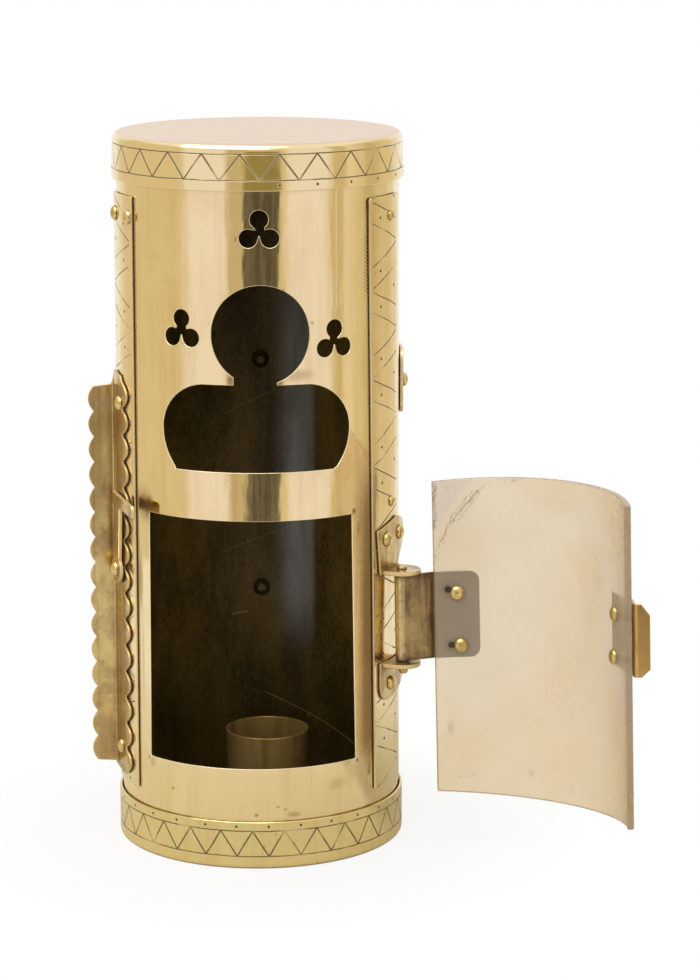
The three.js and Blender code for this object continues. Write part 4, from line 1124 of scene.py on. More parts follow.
def keyhole():
    """A round head over a broad foot with sloping shoulders, as one closed outline whose lower
    corners both stand a little to the left."""
    head_u, head_v, head_r = arc(1.5), 187.9, 17.1
    mid = arc(-0.6)
    foot, bottom, top, half, corner_shift = 28.9, 140.5, 170.7, 34.85, 0.6
    flat_half, neck = 17.4, 7.4
    drop = half - flat_half
    widest = top - drop * 0.92
    right = np.concatenate([
        smooth_curve((mid + foot, bottom), (mid + half * 0.94, bottom + 4.5),
                     (mid + half, widest - 5.5), (mid + half, widest)),
        smooth_curve((mid + half, widest), (mid + half, widest + drop * 0.5),
                     (mid + flat_half + drop * 0.5, top), (mid + flat_half, top)),
        [[mid + neck, top]],
    ])
    left = np.stack([2 * mid - right[::-1, 0], right[::-1, 1]], -1)
    left[-1, 0] -= corner_shift
    right[0, 0] -= corner_shift
    start = math.asin((mid + neck - head_u) / head_r) - math.pi / 2
    end = -math.asin((head_u - mid + neck) / head_r) - math.pi / 2 + 2 * math.pi
    a = np.linspace(start, end, 80)
    head = np.stack([head_u + head_r * np.cos(a), head_v + head_r * np.sin(a)], -1)
    return np.concatenate([right, head, left])


def trefoil(angle, v):
    """Three overlapping round lobes as one closed outline: the farthest lobe edge each way."""
    lobe, reach, hub = 3.15, 4.3, 1.2
    a = np.linspace(0, 2 * math.pi, 132, endpoint=False)
    rays = np.stack([np.cos(a), np.sin(a)], -1)
    far = np.full(len(a), hub)
    for turn in (90, 210, 330):
        c = reach * np.array([math.cos(math.radians(turn)), math.sin(math.radians(turn))])
        b = rays @ c
        inside = b * b - (c @ c - lobe * lobe)
        far = np.maximum(far, np.where(inside > 0, b + np.sqrt(np.maximum(inside, 0)), 0))
    return np.stack([arc(angle) + far * rays[:, 0], v + far * rays[:, 1]], -1)


WINDOW = np.array([
    [arc(WINDOW_LEFT[0]), WINDOW_SILL], [arc(WINDOW_RIGHT[0]), WINDOW_SILL],
    [arc(WINDOW_RIGHT[1]), WINDOW_LINTEL], [arc(WINDOW_LEFT[1]), WINDOW_LINTEL],
])


# Materials.

body_brass = brass(
    "body_brass", PALE_GOLD, OLD_GOLD, 0.065, tarnish=0.32, marks=tube_marks, lining=smoked_wall,
)
cap_brass = brass(
    "cap_brass", PALE_GOLD, LEMON_GOLD, 0.08, wear=0.3, marks=lid_dull_and_painted_reflection,
    engraving=partial(
        band_of_teeth, radius=CAP_OUT, rules=CAP_LINES, teeth=24, first=9.1,
        dots_z=239.2, dots_at_points=True, dots_from=-2.0,
    ),
)
base_brass = brass(
    "base_brass", LEMON_GOLD, OLD_GOLD, 0.12, tarnish=0.4,
    engraving=partial(
        band_of_teeth, radius=BASE_OUT, rules=BASE_LINES, teeth=28, first=-2.6,
        dots_z=15.3, dots_at_points=False,
    ),
)
left_strip_brass = brass(
    "left_strip_brass", PALE_GOLD, OLD_GOLD, 0.14, tarnish=0.5, wear=0.6,
    engraving=partial(strip_strokes, apex_height=216.6, width=19.0),
)
right_strip_brass = brass(
    "right_strip_brass", PALE_GOLD, OLD_GOLD, 0.14, tarnish=0.5, wear=0.6,
    engraving=partial(strip_strokes, apex_height=200.8, width=19.5),
)
band_brass = brass("band_brass", PALE_GOLD, OLD_GOLD, 0.18, tarnish=0.5, wear=0.6)
worn_brass = brass(
    "worn_brass", (0.66, 0.49, 0.215), (0.34, 0.21, 0.085), 0.20, tarnish=0.9, wear=0.9, dirt_and_shade_amount=0.9,
    cut_edge=(0.78, 0.59, 0.29), marks=brown_bloom,
)
# The tab is painted darker and more orange than the other worn fittings: painted shade and a
# painted reflection of the horn that its wing faces.
shaded_tab_brass = brass(
    "shaded_tab_brass", (0.64, 0.40, 0.14), (0.36, 0.19, 0.055), 0.24, tarnish=0.8, wear=0.8, dirt_and_shade_amount=0.7,
    cut_edge=(0.80, 0.58, 0.28),
)
dark_brass = brass(
    "dark_brass", (0.40, 0.275, 0.105), (0.13, 0.078, 0.052), 0.26, tarnish=0.95, wear=1.0,
    dirt_and_shade_amount=0.9, cut_edge=(0.50, 0.36, 0.16), marks=strap_marks,
)
nut_brass = brass(
    "nut_brass", (0.30, 0.20, 0.08), (0.13, 0.08, 0.04), 0.34, tarnish=0.9, wear=0.9,
)
cup_brass = brass(
    "cup_brass", (0.42, 0.27, 0.085), (0.24, 0.135, 0.04), 0.34, tarnish=0.8, wear=0.8, dirt_and_shade_amount=0.3,
    metallic=0.55, cut_edge=(0.62, 0.44, 0.20),
)
rivet_brass = brass(
    "rivet_brass", (0.70, 0.54, 0.23), (0.42, 0.29, 0.10), 0.20, tarnish=0.6, dirt_and_shade_amount=0.9,
    lining=smoked_tails,
)
washer_brass = brass(
    "washer_brass", (0.030, 0.022, 0.010), (0.018, 0.012, 0.006), 0.50, tarnish=0.9, wear=0.8,
)
horn = horn_finish("horn")


# Body, cap, base and cup.

full_turn = 2 * math.pi * BODY
tube_u = lines(
    (-full_turn / 2, arc(-52.0), 2.6), (arc(-52.0), arc(44.0), 0.8),
    (arc(44.0), full_turn / 2, 2.6),
)[:-1]
tube_v = lines(
    (BODY_FLOOR, SILL_BAND[0], 4.0), (*SILL_BAND, 0.6), (SILL_BAND[1], LINTEL_BAND[0], 3.0),
    (*LINTEL_BAND, 0.6), (LINTEL_BAND[1], VENTS_BAND[0], 3.0), (*VENTS_BAND, 0.75),
    (VENTS_BAND[1], BODY_TOP, 4.0),
)
make_piece(
    "lantern_tube",
    *sheet_arrays(
        round_place(BODY_IN), BODY - BODY_IN, tube_u, tube_v, None,
        [WINDOW, keyhole(), *(trefoil(*place) for place in TREFOILS)],
        wrap=full_turn, edge=0.24,
    ),
    body_brass, "lantern", "body_brass", ["body_tube"],
)

make_piece(
    "lantern_cap",
    *turned_arrays([
        (0, HEIGHT - CAP_SHEET, 0), (CAP_IN, HEIGHT - CAP_SHEET, 0.3),
        (CAP_IN + CAP_FLARE, CAP_RIM, 0.1), (CAP_OUT + CAP_FLARE, CAP_RIM, 0.25),
        (CAP_OUT, HEIGHT, 2.5), (0, HEIGHT, 0),
    ], 240),
    cap_brass, "cap", "body_brass", ["cap"],
)
make_piece(
    "base_ring",
    *turned_arrays([
        (0, 0, 0), (BASE_OUT, 0, 1.1), (BASE_OUT, BASE_RIM, 0.3), (BASE_IN, BASE_RIM, 0.3),
        (BASE_IN, BASE_FLOOR, 0.4), (0, BASE_FLOOR, 0),
    ], 240),
    base_brass, "lantern", "body_brass", ["base_pan"],
)
cup = turned_arrays([
    (0, CUP_FOOT, 0), (CUP_FOOT_R, CUP_FOOT, 0.5), (CUP_R, CUP_TOP, 0.35),
    (CUP_R - CUP_WALL, CUP_TOP, 0.35), (CUP_FOOT_R - CUP_WALL, CUP_FOOT + CUP_WALL, 0.5),
    (0, CUP_FOOT + CUP_WALL, 0),
], 96)
make_piece(
    "cup_of_candle", *moved(cup, Matrix.Translation((CUP_X, 0, 0))),
    cup_brass, "lantern", "dark_brass", ["candle_cup"],
)


# Strips.

def strip_piece(name, front, back, mirror, material, node, lift=None):
    """A strip whose front and back edges have one angle each at its foot and at its top. Its flat
    drawing is kept as the distance from its front edge, so that the engraving follows a strip
    that is out of true."""
    outline = np.array([
        [arc(front[0]), STRIP_BOTTOM], [arc(back[0]), STRIP_BOTTOM],
        [arc(back[1]), STRIP_TOP], [arc(front[1]), STRIP_TOP],
    ])
    margin, end = 0.4, 1.2
    low, high = outline[:, 0].min(), outline[:, 0].max()
    u_lines = lines((low - margin, high + margin, 0.8))
    v_lines = lines(
        (STRIP_BOTTOM - margin, STRIP_BOTTOM + end, 0.4),
        (STRIP_BOTTOM + end, STRIP_TOP - end, 2.5), (STRIP_TOP - end, STRIP_TOP + margin, 0.4),
    )
    arrays = sheet_arrays(
        round_place(STRIP_IN, lift), STRIP_OUT - STRIP_IN, u_lines, v_lines, outline,
    )
    flat = arrays[4]
    t = (flat[:, 1] - STRIP_BOTTOM) / (STRIP_TOP - STRIP_BOTTOM)
    edge = arc(1.0) * (front[0] + (front[1] - front[0]) * t)
    flat[:, 0] = (flat[:, 0] - edge) * mirror
    return make_piece(name, *arrays, material, "lantern", "strip_brass", [node])


strip_piece(
    "strip_left", (LEFT_STRIP_FRONT,) * 2, (LEFT_STRIP_BACK,) * 2, -1, left_strip_brass,
    "left_strip",
)
strip_piece(
    "strip_right", RIGHT_STRIP_FRONT, [a + RIGHT_STRIP_SPAN for a in RIGHT_STRIP_FRONT], 1,
    right_strip_brass, "right_strip",
    lift=lambda u, v: RIGHT_STRIP_LIFT * np.exp((v - STRIP_TOP) / LIFT_LENGTH),
)


# Keeper: an angle bar with scalloped edges.

def scallops(start, end, depth):
    """Edge offsets from start to end: parabolic lobes with their crests at zero and their notches
    at the depth."""
    count = max(2, round(abs(end - start) / SCALLOP_PITCH))
    t = np.linspace(0, 1, 12, endpoint=False)
    v = start + (np.arange(count)[:, None] + t) * (end - start) / count
    drop = depth * (2 * t - 1) ** 2 + 0 * v
    return np.stack([drop.ravel(), v.ravel()], -1)


def keeper_piece():
    """A plan path from the flange's front edge back to the fin and out along it, with a soft
    bend, and an outline with lobes along both edges."""
    sheet = KEEPER_OUT - PLATE_IN
    path, bend_u = bent_out(
        PLATE_IN + sheet / 2, 1.3, KEEPER_FRONT, FIN_ANGLE, KEEPER_OUT + FIN_REACH,
    )
    place, length = along_path(path, sheet / 2, 1)
    up = scallops(KEEPER_BOTTOM, KEEPER_TOP - KEEPER_CORNER, FLANGE_SCALLOP)
    down = scallops(FIN_TOP, FIN_BOTTOM, FIN_SCALLOP)
    outline = np.concatenate([
        [[bend_u, KEEPER_BOTTOM + 0.3]], up,
        [[FLANGE_SCALLOP, KEEPER_TOP - KEEPER_CORNER],
         [FLANGE_SCALLOP + KEEPER_CORNER / 2, KEEPER_TOP - KEEPER_CORNER / 3],
         [bend_u - 1.5, KEEPER_TOP], [bend_u + 1.0, FIN_TOP + 0.6]],
        np.stack([length - down[:, 0], down[:, 1]], -1),
        [[length - FIN_SCALLOP, FIN_BOTTOM], [bend_u + 1.0, FIN_BOTTOM - 0.6]],
    ])
    arrays = sheet_arrays(
        place, sheet, lines((-0.6, length + 0.6, 0.5)),
        lines((KEEPER_BOTTOM - 0.8, KEEPER_TOP + 0.8, 0.5)), outline[::-1], edge=0.22,
    )
    return make_piece("keeper_rail", *arrays, worn_brass, "lantern", "worn_brass", ["keeper_bar"])


keeper_piece()


# Latch.

def latch_outline():
    """Round boss, straight stem and a head whose long side points to the door."""
    half = LATCH_STEM / 2
    start = math.asin(half / LATCH_BOSS)
    a = np.linspace(math.pi / 2 + start, 2.5 * math.pi - start, 40)
    boss = np.stack([LATCH_BOSS * np.cos(a), LATCH_BOSS * np.sin(a)], -1)
    top, under = LATCH_LENGTH, LATCH_LENGTH - LATCH_HEAD
    return np.concatenate([
        boss,
        [[half, under], [half + LATCH_HOOK, under], [half + LATCH_HOOK, top - 1]],
        [[half + LATCH_HOOK - 1, top], [1 - half - LATCH_HEEL, top]],
        smooth_curve((-half - LATCH_HEEL + 1, top), (-half - LATCH_HEEL, top),
                     (-half - LATCH_HEEL, under), (-half - LATCH_HEEL + 1, under), 8)[1:],
        [[-half, under]],
    ])


def latch_place(u, v, depth):
    """The flat lever, drawn round its rivet, put a little off upright at the rivet's place."""
    lean = -math.radians(LATCH_LEAN)
    a = math.radians(LATCH_ANGLE)
    x = u * math.cos(lean) - v * math.sin(lean)
    z = u * math.sin(lean) + v * math.cos(lean) + LATCH_Z
    r = LATCH_IN + depth
    return np.stack([
        r * math.sin(a) + x * math.cos(a), -r * math.cos(a) + x * math.sin(a), z,
    ], -1)


make_piece(
    "latch_hook",
    *sheet_arrays(
        latch_place, LATCH_SHEET, lines((-7.5, 18.5, 0.5)), lines((-6.0, 28.0, 0.5)),
        latch_outline(), edge=0.3,
    ),
    worn_brass, "latch", "worn_brass", ["latch_lever"],
)


# Hinge ears, strap and pin.

def ear_arrays(leaf, tongue_foot):
    """A leaf on the lantern and, at right angles, a tongue with a round end about the pin."""
    leaf = np.asarray(leaf, float)
    plate = sheet_arrays(
        round_place(PLATE_IN), LEAF_OUT - PLATE_IN, *grid_over(leaf, 0.5, 0.6), leaf, edge=0.2,
    )
    a = np.linspace(-math.pi / 2, math.pi / 2, 36)
    end = np.stack([HINGE_R + EAR_R * np.cos(a), EAR_R * np.sin(a)], -1)
    inner = PLATE_IN + 0.15
    outline = np.concatenate([end, [[inner, EAR_R], [inner, -EAR_R]]])
    bearing = math.radians(HINGE_ANGLE)

    def place(u, v, depth):
        x = u * math.sin(bearing) + v * math.cos(bearing)
        y = -u * math.cos(bearing) + v * math.sin(bearing)
        return np.stack([x, y, tongue_foot + depth + 0.0 * u], -1)

    cell = 0.5
    tongue = sheet_arrays(
        place, EAR_SHEET, lines((inner - cell, HINGE_R + EAR_R + cell, cell)),
        lines((-EAR_R - cell, EAR_R + cell, cell)), outline, edge=0.3,
    )
    return joined(plate, tongue)


def leaf_outlines():
    """The upper leaf rises to a peak and spreads back over its second rivet; the lower one hangs
    down to a round end. Both are drawn from the front edge, the tongue's height and the rivets."""
    front, m = arc(EAR_FRONT), LEAF_MARGIN
    lobe, lobe_z = arc(UPPER_EAR_RIVETS[1][0]), UPPER_EAR_RIVETS[1][1]
    under, over = (lobe + m, lobe_z - m), (lobe + m * 0.85, lobe_z + m * 0.85)
    upper = np.concatenate([
        [[front, UPPER_EAR]],
        arched((front + 12.1, UPPER_EAR), (front + 15.125, lobe_z - m * 1.4), under),
        arched(under, (lobe + m * 1.7, lobe_z), over),
        [over, [arc(70.0), UPPER_EAR + 19.1], [arc(53.4), UPPER_EAR + 16.0]],
    ])
    tongue, tongue_z = arc(LOWER_EAR_RIVET[0]), LOWER_EAR_RIVET[1]
    low, back = (tongue - m / 2, tongue_z - m * 1.1), (tongue + 15.5, tongue_z + m * 0.3)
    lower = np.concatenate([
        [[front, LOWER_EAR]],
        arched((front, tongue_z), (front, tongue_z - m), low),
        arched(low, (tongue + 9.3, tongue_z - m), back),
        [back, [tongue + 13.49, LOWER_EAR]],
    ])
    return upper, lower


upper_leaf, lower_leaf = leaf_outlines()
make_piece(
    "hinge_upper", *ear_arrays(upper_leaf, UPPER_EAR),
    worn_brass, "lantern", "worn_brass", ["hinge_ear_upper"],
)
make_piece(
    "hinge_lower", *ear_arrays(lower_leaf, LOWER_EAR - EAR_SHEET),
    worn_brass, "lantern", "worn_brass", ["hinge_ear_lower"],
)


def strap_piece():
    """A plan path on the horn from the strap's free end to the horn's edge, then straight to the
    inner side of the barrel and round it. The barrel leans with the pin, and the straight part
    takes up the twist."""
    middle = STRAP_IN + STRAP_SHEET / 2
    on_horn = plan_arc((0, 0), middle, STRAP_END - 90, HORN_HINGE - 90, 90)
    to_strap = on_horn[-1] - PIN
    start = math.degrees(math.atan2(to_strap[1], to_strap[0])
                         - math.acos(BARREL_R / np.linalg.norm(to_strap)))
    barrel = plan_arc(PIN, BARREL_R, start, start - BARREL_TURN, 110)
    run = barrel[0] - on_horn[-1]
    straight = on_horn[-1] + np.linspace(0, 1, 40)[1:-1, None] * run
    upright, length = along_path(np.concatenate([on_horn, straight, barrel]), STRAP_SHEET / 2, 1)

    def place(u, v, depth):
        p = upright(u, v, depth)
        share = np.clip(((p[:, :2] - on_horn[-1]) @ run) / (run @ run), 0, 1)[:, None]
        p[:, :2] += share * PIN_SLOPE * (p[:, 2:] - PIN_MIDDLE)
        return p

    outline = np.concatenate([
        round_end(0, STRAP_BOTTOM, STRAP_TOP, STRAP_CORNER, 1),
        [[length, STRAP_TOP], [length, STRAP_BOTTOM]],
    ])
    return make_piece(
        "hinge_strap",
        *sheet_arrays(
            in_door(place), STRAP_SHEET, lines((-0.5, 20.2, 0.5), (20.2, length + 0.3, 0.45)),
            lines((STRAP_BOTTOM - 0.5, STRAP_TOP + 0.5, 0.7)), outline, edge=0.15,
        ),
        dark_brass, "door", "dark_brass", ["door_strap"],
    )


strap_piece()

# The pin has a small rounded foot below the lower ear and a low head on the upper one.
pin_top, pin_foot = UPPER_EAR + EAR_SHEET + 0.05, LOWER_EAR - EAR_SHEET - GAP
pin = turned_arrays([
    (0, pin_foot - 2.6, 0), (PIN_R * 0.9, pin_foot - 2.6, 0.4), (PIN_R + 0.5, pin_foot - 1.5, 0.4),
    (PIN_R + 0.3, pin_foot, 0.15), (PIN_R, pin_foot, 0.02), (PIN_R, pin_top, 0.02),
    (1.9, pin_top, 0.2), (1.75, pin_top + 1.0, 0.5), (0, pin_top + 1.25, 0),
], 40)
pin_lean = Vector((0, 0, 1)).rotation_difference(PIN_AXIS).to_matrix().to_4x4()
make_piece(
    "hinge_rod",
    *moved(pin, AT_PIN @ pin_lean @ Matrix.Translation((0, 0, -PIN_MIDDLE))),
    rivet_brass, "lantern", "rivet_brass", ["hinge_pin"],
)


# Door: horn pane and pull tab.

def horn_piece():
    """A curved pane whose upper and lower edges bow."""
    t = np.linspace(0, 1, 40)
    bow = 4 * t * (1 - t)
    along = arc(1) * (HORN_FREE + (HORN_HINGE - HORN_FREE) * t)
    outline = np.concatenate([
        np.stack([along, HORN_BOTTOM - HORN_BOTTOM_BOW * bow], -1),
        np.stack([along, HORN_TOP + HORN_TOP_BOW * bow], -1)[::-1],
    ])
    return make_piece(
        "horn_sheet",
        *sheet_arrays(
            in_door(round_place(HORN_IN)), HORN_SHEET, *grid_over(outline, 0.6, 0.9), outline,
            edge=0.35,
        ),
        horn, "door", "horn", ["horn_pane"],
    )


horn_piece()


def tab_piece():
    """A plan path along the flange to the pane's free edge and straight out along the wing, whose
    outer corners are cut off."""
    edge = TAB_EDGE + math.degrees(TAB_SHEET / TAB_IN) / 2
    path, bend_u = bent_out(TAB_IN + TAB_SHEET / 2, 1.2, TAB_END, edge, TAB_IN + TAB_REACH)
    place, length = along_path(path, TAB_SHEET / 2, 1)
    outline = [
        [0, TAB_BOTTOM], [bend_u + 2, TAB_BOTTOM], [length, TAB_BOTTOM + TAB_BEVEL * 0.7],
        [length, TAB_TOP - TAB_BEVEL], [bend_u + 2, TAB_TOP], [0, TAB_TOP],
    ]
    return make_piece(
        "door_tab",
        *sheet_arrays(
            in_door(place), TAB_SHEET, lines((-0.5, length + 0.3, 0.6)),
            lines((TAB_BOTTOM - 0.5, TAB_TOP + 0.5, 0.7)), outline, edge=0.2,
        ),
        shaded_tab_brass, "door", "worn_brass", ["pull_tab"],
    )


tab_piece()


# Back band and handle.

def band_piece():
    """A band round the back with round corners, on a grid that is fine near its edges."""
    start, end = arc(BAND_ENDS[0]), arc(BAND_ENDS[1])
    outline = np.concatenate([
        round_end(start, BAND_BOTTOM, BAND_TOP, BAND_CORNER, 1),
        round_end(end, BAND_BOTTOM, BAND_TOP, BAND_CORNER, -1)[::-1],
    ])
    fine, margin, rim = 0.6, 0.6, 6
    u_lines, v_lines = (
        lines((low - margin, low + rim, fine), (low + rim, high - rim, coarse),
              (high - rim, high + margin, fine))
        for low, high, coarse in ((start, end, 2.4), (BAND_BOTTOM, BAND_TOP, 2.0))
    )
    return make_piece(
        "band_behind",
        *sheet_arrays(round_place(STRIP_IN), BAND_SHEET, u_lines, v_lines, outline, edge=0.2),
        band_brass, "lantern", "strip_brass", ["back_band"],
    )


band_piece()


def handle_piece():
    """A strip bent to a D behind the lantern, carried along a side path of (distance, height)."""
    top_foot = STRIP_IN + BAND_SHEET + GAP + HANDLE_SHEET / 2
    low_foot = BODY + GAP + HANDLE_SHEET / 2
    grip = BODY + HANDLE_REACH + HANDLE_SHEET
    top, low = HANDLE_RIVETS
    middle = (top + low) / 2
    foot, bend = 9.0, 14.0
    top_bend, low_bend = top - foot * 0.6, low + foot * 0.6
    path = np.concatenate([
        np.stack([np.full(30, top_foot), np.linspace(top + foot, top_bend, 30)], -1)[:-1],
        smooth_curve((top_foot, top_bend), (top_foot, top - foot - bend),
                     (grip, top + HANDLE_SHEET), (grip, middle), 60),
        smooth_curve((grip, middle), (grip, low - HANDLE_SHEET),
                     (low_foot, low + foot + bend), (low_foot, low_bend), 60),
        np.stack([np.full(30, low_foot), np.linspace(low_bend, low - foot, 30)], -1),
    ])
    flat_place, length = along_path(path, HANDLE_SHEET / 2, -1)

    def place(u, v, depth):
        p = flat_place(u, v, depth)
        return np.stack([v + 0.0 * u, p[:, 0], p[:, 1]], -1)

    half = HANDLE_WIDTH / 2
    outline = np.concatenate([
        round_end(0, -half, half, HANDLE_CORNER, 1, 8),
        round_end(length, -half, half, HANDLE_CORNER, -1, 8)[::-1],
    ])
    return make_piece(
        "handle_strap",
        *sheet_arrays(
            place, HANDLE_SHEET, lines((-0.3, length + 0.3, 0.9)),
            lines((-half - 0.5, half + 0.5, 0.9)), outline, edge=0.35,
        ),
        worn_brass, "lantern", "worn_brass", ["back_handle"],
    )


handle_piece()


# Rivets, washers and nails.

def rivet_arrays(head_seat, tail_seat, head=RIVET_HEAD, dome=RIVET_DOME, seed=0):
    """A domed head, a shank and a flattened tail; the head is a little out of round, as hammered.
    The dome is half an ellipsoid, and its normals are the ellipsoid's."""
    t = np.radians(DOME_ANGLES)
    skirt = [(head * math.sin(a), head_seat + dome * math.cos(a), 0.02) for a in t]
    rng = np.random.default_rng(seed)
    lump, phase = rng.uniform(0.01, 0.035), rng.uniform(0, 6.28)

    def uneven(a, z):
        return lump * np.cos(2 * a + phase) + 0.5 * lump * np.cos(3 * a - phase)

    arrays = turned_arrays([
        (0, tail_seat - TAIL_HEIGHT, 0), (TAIL_R * 0.8, tail_seat - TAIL_HEIGHT + 0.1, 0.25),
        (TAIL_R, tail_seat, 0.15), (RIVET_SHANK, tail_seat, 0.02), (RIVET_SHANK, head_seat, 0.02),
        (head, head_seat, 0.1), *skirt, (0, head_seat + dome, 0),
    ], 36, round_off=uneven)
    points, groups, normals, wall, flat = arrays
    above = points[:, 2] > head_seat + 0.01
    cap_normal = np.stack([
        points[:, 0] / head ** 2, points[:, 1] / head ** 2, (points[:, 2] - head_seat) / dome ** 2,
    ], -1)
    normals = np.where(above[:, None], cap_normal, normals)
    return points, groups, normals, wall, flat


def rivet_row(piece, node, places, surface, head=RIVET_HEAD, dome=RIVET_DOME):
    """Rivets square to the lantern, numbered as their nodes are."""
    for i, (angle, z) in enumerate(places):
        arrays = rivet_arrays(surface + SEAT, TAIL_SEAT, head, dome, seed=i + len(piece) * 7)
        replaced = node if len(places) == 1 else f"{node}_{i + 1}"
        make_piece(
            f"{piece}_{i + 1}", *moved(arrays, on_lantern(angle, z)),
            rivet_brass, "lantern", "rivet_brass", [replaced],
        )


band_out = STRIP_IN + BAND_SHEET
rivet_row("nail_left", "left_strip_rivet", LEFT_STRIP_NAILS, STRIP_OUT)
rivet_row("nail_right", "right_strip_rivet", RIGHT_STRIP_NAILS, STRIP_OUT, head=1.9, dome=1.3)
rivet_row("nail_keeper", "keeper_rivet", KEEPER_RIVETS, KEEPER_OUT)
rivet_row("nail_latch", "latch_rivet", [(LATCH_ANGLE, LATCH_Z)], LATCH_IN + LATCH_SHEET,
          head=2.7, dome=1.9)
rivet_row("nail_hinge", "hinge_ear_rivet", [*UPPER_EAR_RIVETS, LOWER_EAR_RIVET], LEAF_OUT)
rivet_row("nail_band", "back_band_rivet", BAND_RIVETS, band_out)

washer_in = TAIL_SEAT - WASHER_SHEET
handle_seats = (band_out + GAP + HANDLE_SHEET, BODY + GAP + HANDLE_SHEET)
for i, (z, seat) in enumerate(zip(HANDLE_RIVETS, handle_seats)):
    arrays = rivet_arrays(seat + SEAT, washer_in - SEAT, seed=90 + i)
    make_piece(
        f"nail_handle_{i + 1}", *moved(arrays, on_lantern(180, z)),
        rivet_brass, "lantern", "rivet_brass", [f"handle_rivet_{i + 1}"],
    )
    ring = turned_arrays([
        (WASHER_BORE, washer_in, 0.1), (WASHER_R, washer_in, 0.2),
        (WASHER_R, washer_in + WASHER_SHEET, 0.2), (WASHER_BORE, washer_in + WASHER_SHEET, 0.1),
    ], 40, closed=True)
    make_piece(
        f"washer_{i + 1}", *moved(ring, on_lantern(180, z)),
        washer_brass, "lantern", "dark_brass", [f"handle_washer_{i + 1}"],
    )


def door_nails(piece, node, places, outer):
    """Rivets whose domes show on the pane's inner face."""
    for i, (angle, z) in enumerate(places):
        arrays = rivet_arrays(
            SEAT - HORN_IN, -outer - GAP, head=2.65, dome=1.6, seed=40 + i + len(piece),
        )
        turn = DOOR_TURN @ on_lantern(angle, z) @ Matrix.Rotation(math.pi, 4, "X")
        make_piece(
            f"{piece}_{i + 1}", *moved(arrays, turn),
            rivet_brass, "door", "rivet_brass", [f"{node}_{i + 1}"],
        )


door_nails("nail_strap", "door_strap_rivet", STRAP_RIVETS, STRAP_IN + STRAP_SHEET)
door_nails("nail_tab", "pull_tab_rivet", TAB_RIVETS, TAB_IN + TAB_SHEET)

cup_nail = turned_arrays([
    (0, 0.15, 0), (RIVET_SHANK, 0.15, 0.1), (RIVET_SHANK, 2.7, 0.02), (2.6, 2.7, 0.15),
    (1.9, 3.5, 0.5), (0, 3.9, 0),
], 32)
make_piece(
    "nail_cup", *moved(cup_nail, Matrix.Translation((CUP_X, 0, 0))),
    nut_brass, "lantern", "dark_brass", ["cup_rivet"],
)


# Floor, light and camera.

PAPER, PAPER_GRAIN = (0.62, 0.59, 0.50), (0.56, 0.53, 0.45)
WHITE = (1.0, 1.0, 1.0)


def ray_kinds(paint):
    """One for rays from the lens, straight or through the horn, and one for mirrored rays."""
    rays = paint.add("ShaderNodeLightPath").socket.node.outputs
    camera, through, mirrored = (
        Value(paint, rays[f"Is {kind} Ray"]) for kind in ("Camera", "Transmission", "Glossy")
    )
    return paint.high(camera, through), mirrored


def paper_floor():
    """A round sheet of pale paper that fades into a white backdrop away from the lantern."""
    radius, shift, corners = 0.50, 0.02, 96
    a = np.linspace(0, 2 * math.pi, corners, endpoint=False)
    ring = np.stack([radius * np.cos(a) + shift, radius * np.sin(a), 0 * a], -1)
    mesh = bpy.data.meshes.new("floor")
    mesh.from_pydata([(0, 0, 0), *ring.tolist()], [], [
        (0, 1 + i, 1 + (i + 1) % corners) for i in range(corners)
    ])
    floor = bpy.data.objects.new("floor", mesh)
    bpy.context.scene.collection.objects.link(floor)
    material = bpy.data.materials.new("floor_paper")
    paint = Paint(material)
    straight, mirrored = ray_kinds(paint)
    place = paint.object_mm()
    _, _, far = paint.around(place)
    white = paint.high(
        straight * paint.step(far, 60.0, 130.0, 0.86, 1.0),
        mirrored * paint.step(far, 120.0, 330.0),
    )
    paper = paint.mix(paint.noise(place, 0.4, 3.0) * 0.06, PAPER, PAPER_GRAIN)
    lit = paint.add("ShaderNodeBsdfDiffuse", None, {"Color": paper})
    glow = paint.add("ShaderNodeEmission", None, {"Color": colour(WHITE), "Strength": 1.0})
    shade = paint.add("ShaderNodeMixShader", None, {0: white, 1: lit, 2: glow})
    paint.add("ShaderNodeOutputMaterial", None, {"Surface": shade})
    mesh.materials.append(material)


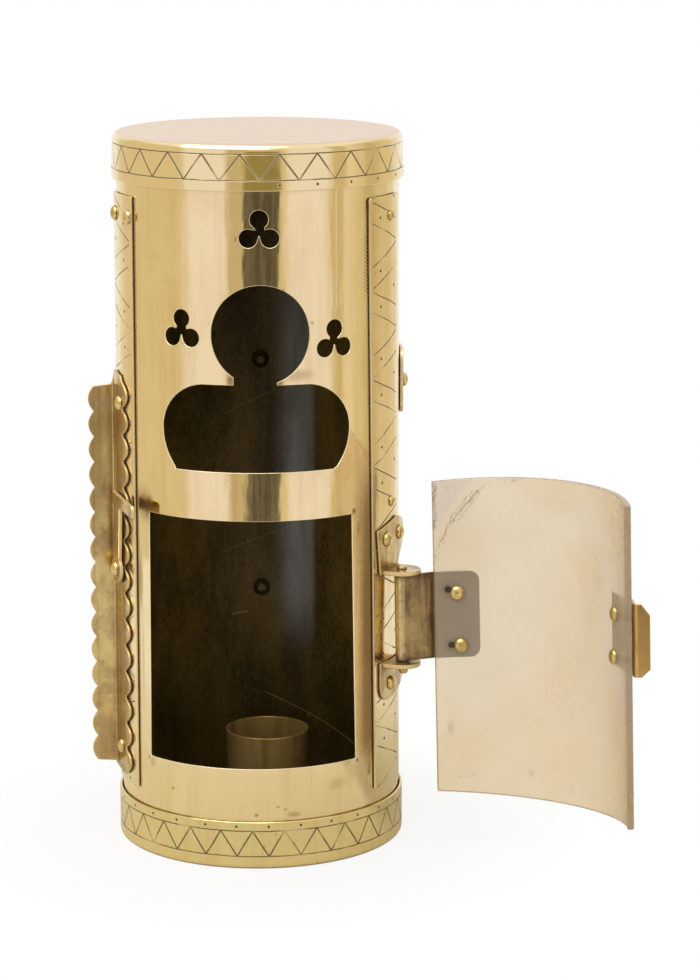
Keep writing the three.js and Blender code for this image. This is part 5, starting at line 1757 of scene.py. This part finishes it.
def mirrored_room():
    """An even white light, and for mirrored rays a room: the white backdrop that the lens sees
    behind the lantern, two light boxes in front, between them the dark gap where the camera
    stands, warm walls beside them, a pale ceiling and one lamp in it."""
    world = bpy.data.worlds.new("studio")
    bpy.context.scene.world = world
    paint = Paint(world)
    straight, mirrored = ray_kinds(paint)
    toward = paint.add("ShaderNodeTexCoord", out="Generated")
    x, y, z = paint.parts(toward)
    bearing = paint.math("ARCTAN2", x, y * -1.0) * (180.0 / math.pi)

    def between(value, start, end, soft):
        half = soft / 2
        return paint.span(value, start - half, start + half, end - half, end + half)

    room = paint.mix(between(bearing, 72.0, 84.0, 6.0), (0.80, 0.70, 0.50), (0.88, 0.79, 0.62))
    room = paint.mix(between(bearing, 95.0, 112.0, 14.0), room, (0.66, 0.56, 0.34))
    room = paint.mix(between(bearing, 63.0, 72.0, 4.0), room, (0.70, 0.59, 0.36))
    boxes = paint.high(between(bearing, -59.0, -22.0, 9.0), between(bearing, 24.0, 61.0, 8.0))
    room = paint.mix(boxes, room, (0.97, 0.93, 0.99))
    room = paint.mix(between(bearing, -23.0, -12.0, 7.0), room, (0.64, 0.55, 0.37))

    veins = paint.noise(paint.scaled(toward, (26.0, 26.0, 3.0)), 1.0, 3.0, 0.6)
    stand = paint.mix(paint.step(veins, 0.40, 0.66), (0.100, 0.086, 0.062), (0.21, 0.19, 0.135))
    stand = paint.mix(paint.step(z, -0.085, -0.035) * 0.8, stand, (0.42, 0.35, 0.12))
    tall = (z + 0.118) / 0.150
    wide = (bearing - 3.0) / 15.5
    camera_gap = paint.distance(tall * tall, wide * wide)
    room = paint.mix(paint.step(camera_gap, 0.78, 1.12, 1.0, 0.0), room, stand)

    room = paint.mix(paint.step(z, 0.45, 0.75), room, (1.05, 1.04, 1.03))
    glint = between(z, 0.56, 0.94, 0.08) * between(bearing, 1.5, 9.5, 2.0)
    room = paint.mix(glint, room, (3.4, 3.1, 2.2))
    backdrop = paint.step(abs(bearing), 128.0, 150.0) * mirrored
    room = paint.mix(backdrop, room, WHITE)
    room = paint.mix(mirrored, (0.95, 0.94, 0.93), room)
    sky = paint.mix(straight, room, WHITE)
    light = paint.add("ShaderNodeBackground", None, {"Color": sky, "Strength": 1.0})
    paint.add("ShaderNodeOutputWorld", None, {"Surface": light})


def overhead_lamp():
    """One broad lamp above and to the left, aimed at the middle of the lantern."""
    lamp = bpy.data.lights.new("overhead", "AREA")
    lamp.shape = "RECTANGLE"
    lamp.size, lamp.size_y = 0.9, 0.7
    lamp.energy = 6.0
    overhead = bpy.data.objects.new("overhead", lamp)
    overhead.location = (-0.25, -0.35, 0.95)
    aim = Vector((0.02, 0.0, 0.12)) - overhead.location
    overhead.rotation_mode = "QUATERNION"
    overhead.rotation_quaternion = aim.to_track_quat("-Z", "Y")
    bpy.context.scene.collection.objects.link(overhead)


def photo_camera():
    """The viewpoint that was fitted to the photograph: its axes and place in metres."""
    data = bpy.data.cameras.new("camera")
    data.sensor_width = 36.0
    data.lens = 118.43
    data.shift_y = -0.1204
    data.clip_start = 0.05
    camera = bpy.data.objects.new("camera", data)
    right = Vector((0.99988854, -0.01489212, -0.00106661))
    down = Vector((-0.00360798, -0.17168887, -0.98514462))
    forward = Vector((0.01448777, 0.98503866, -0.17172347))
    turn = Matrix((right, -down, -forward)).transposed().to_4x4()
    camera.matrix_world = Matrix.Translation((0.0157995, -1.1271749, 0.3632446)) @ turn
    bpy.context.scene.collection.objects.link(camera)
    bpy.context.scene.camera = camera


paper_floor()
mirrored_room()
overhead_lamp()
photo_camera()
bpy.context.scene.view_settings.view_transform = "Standard"
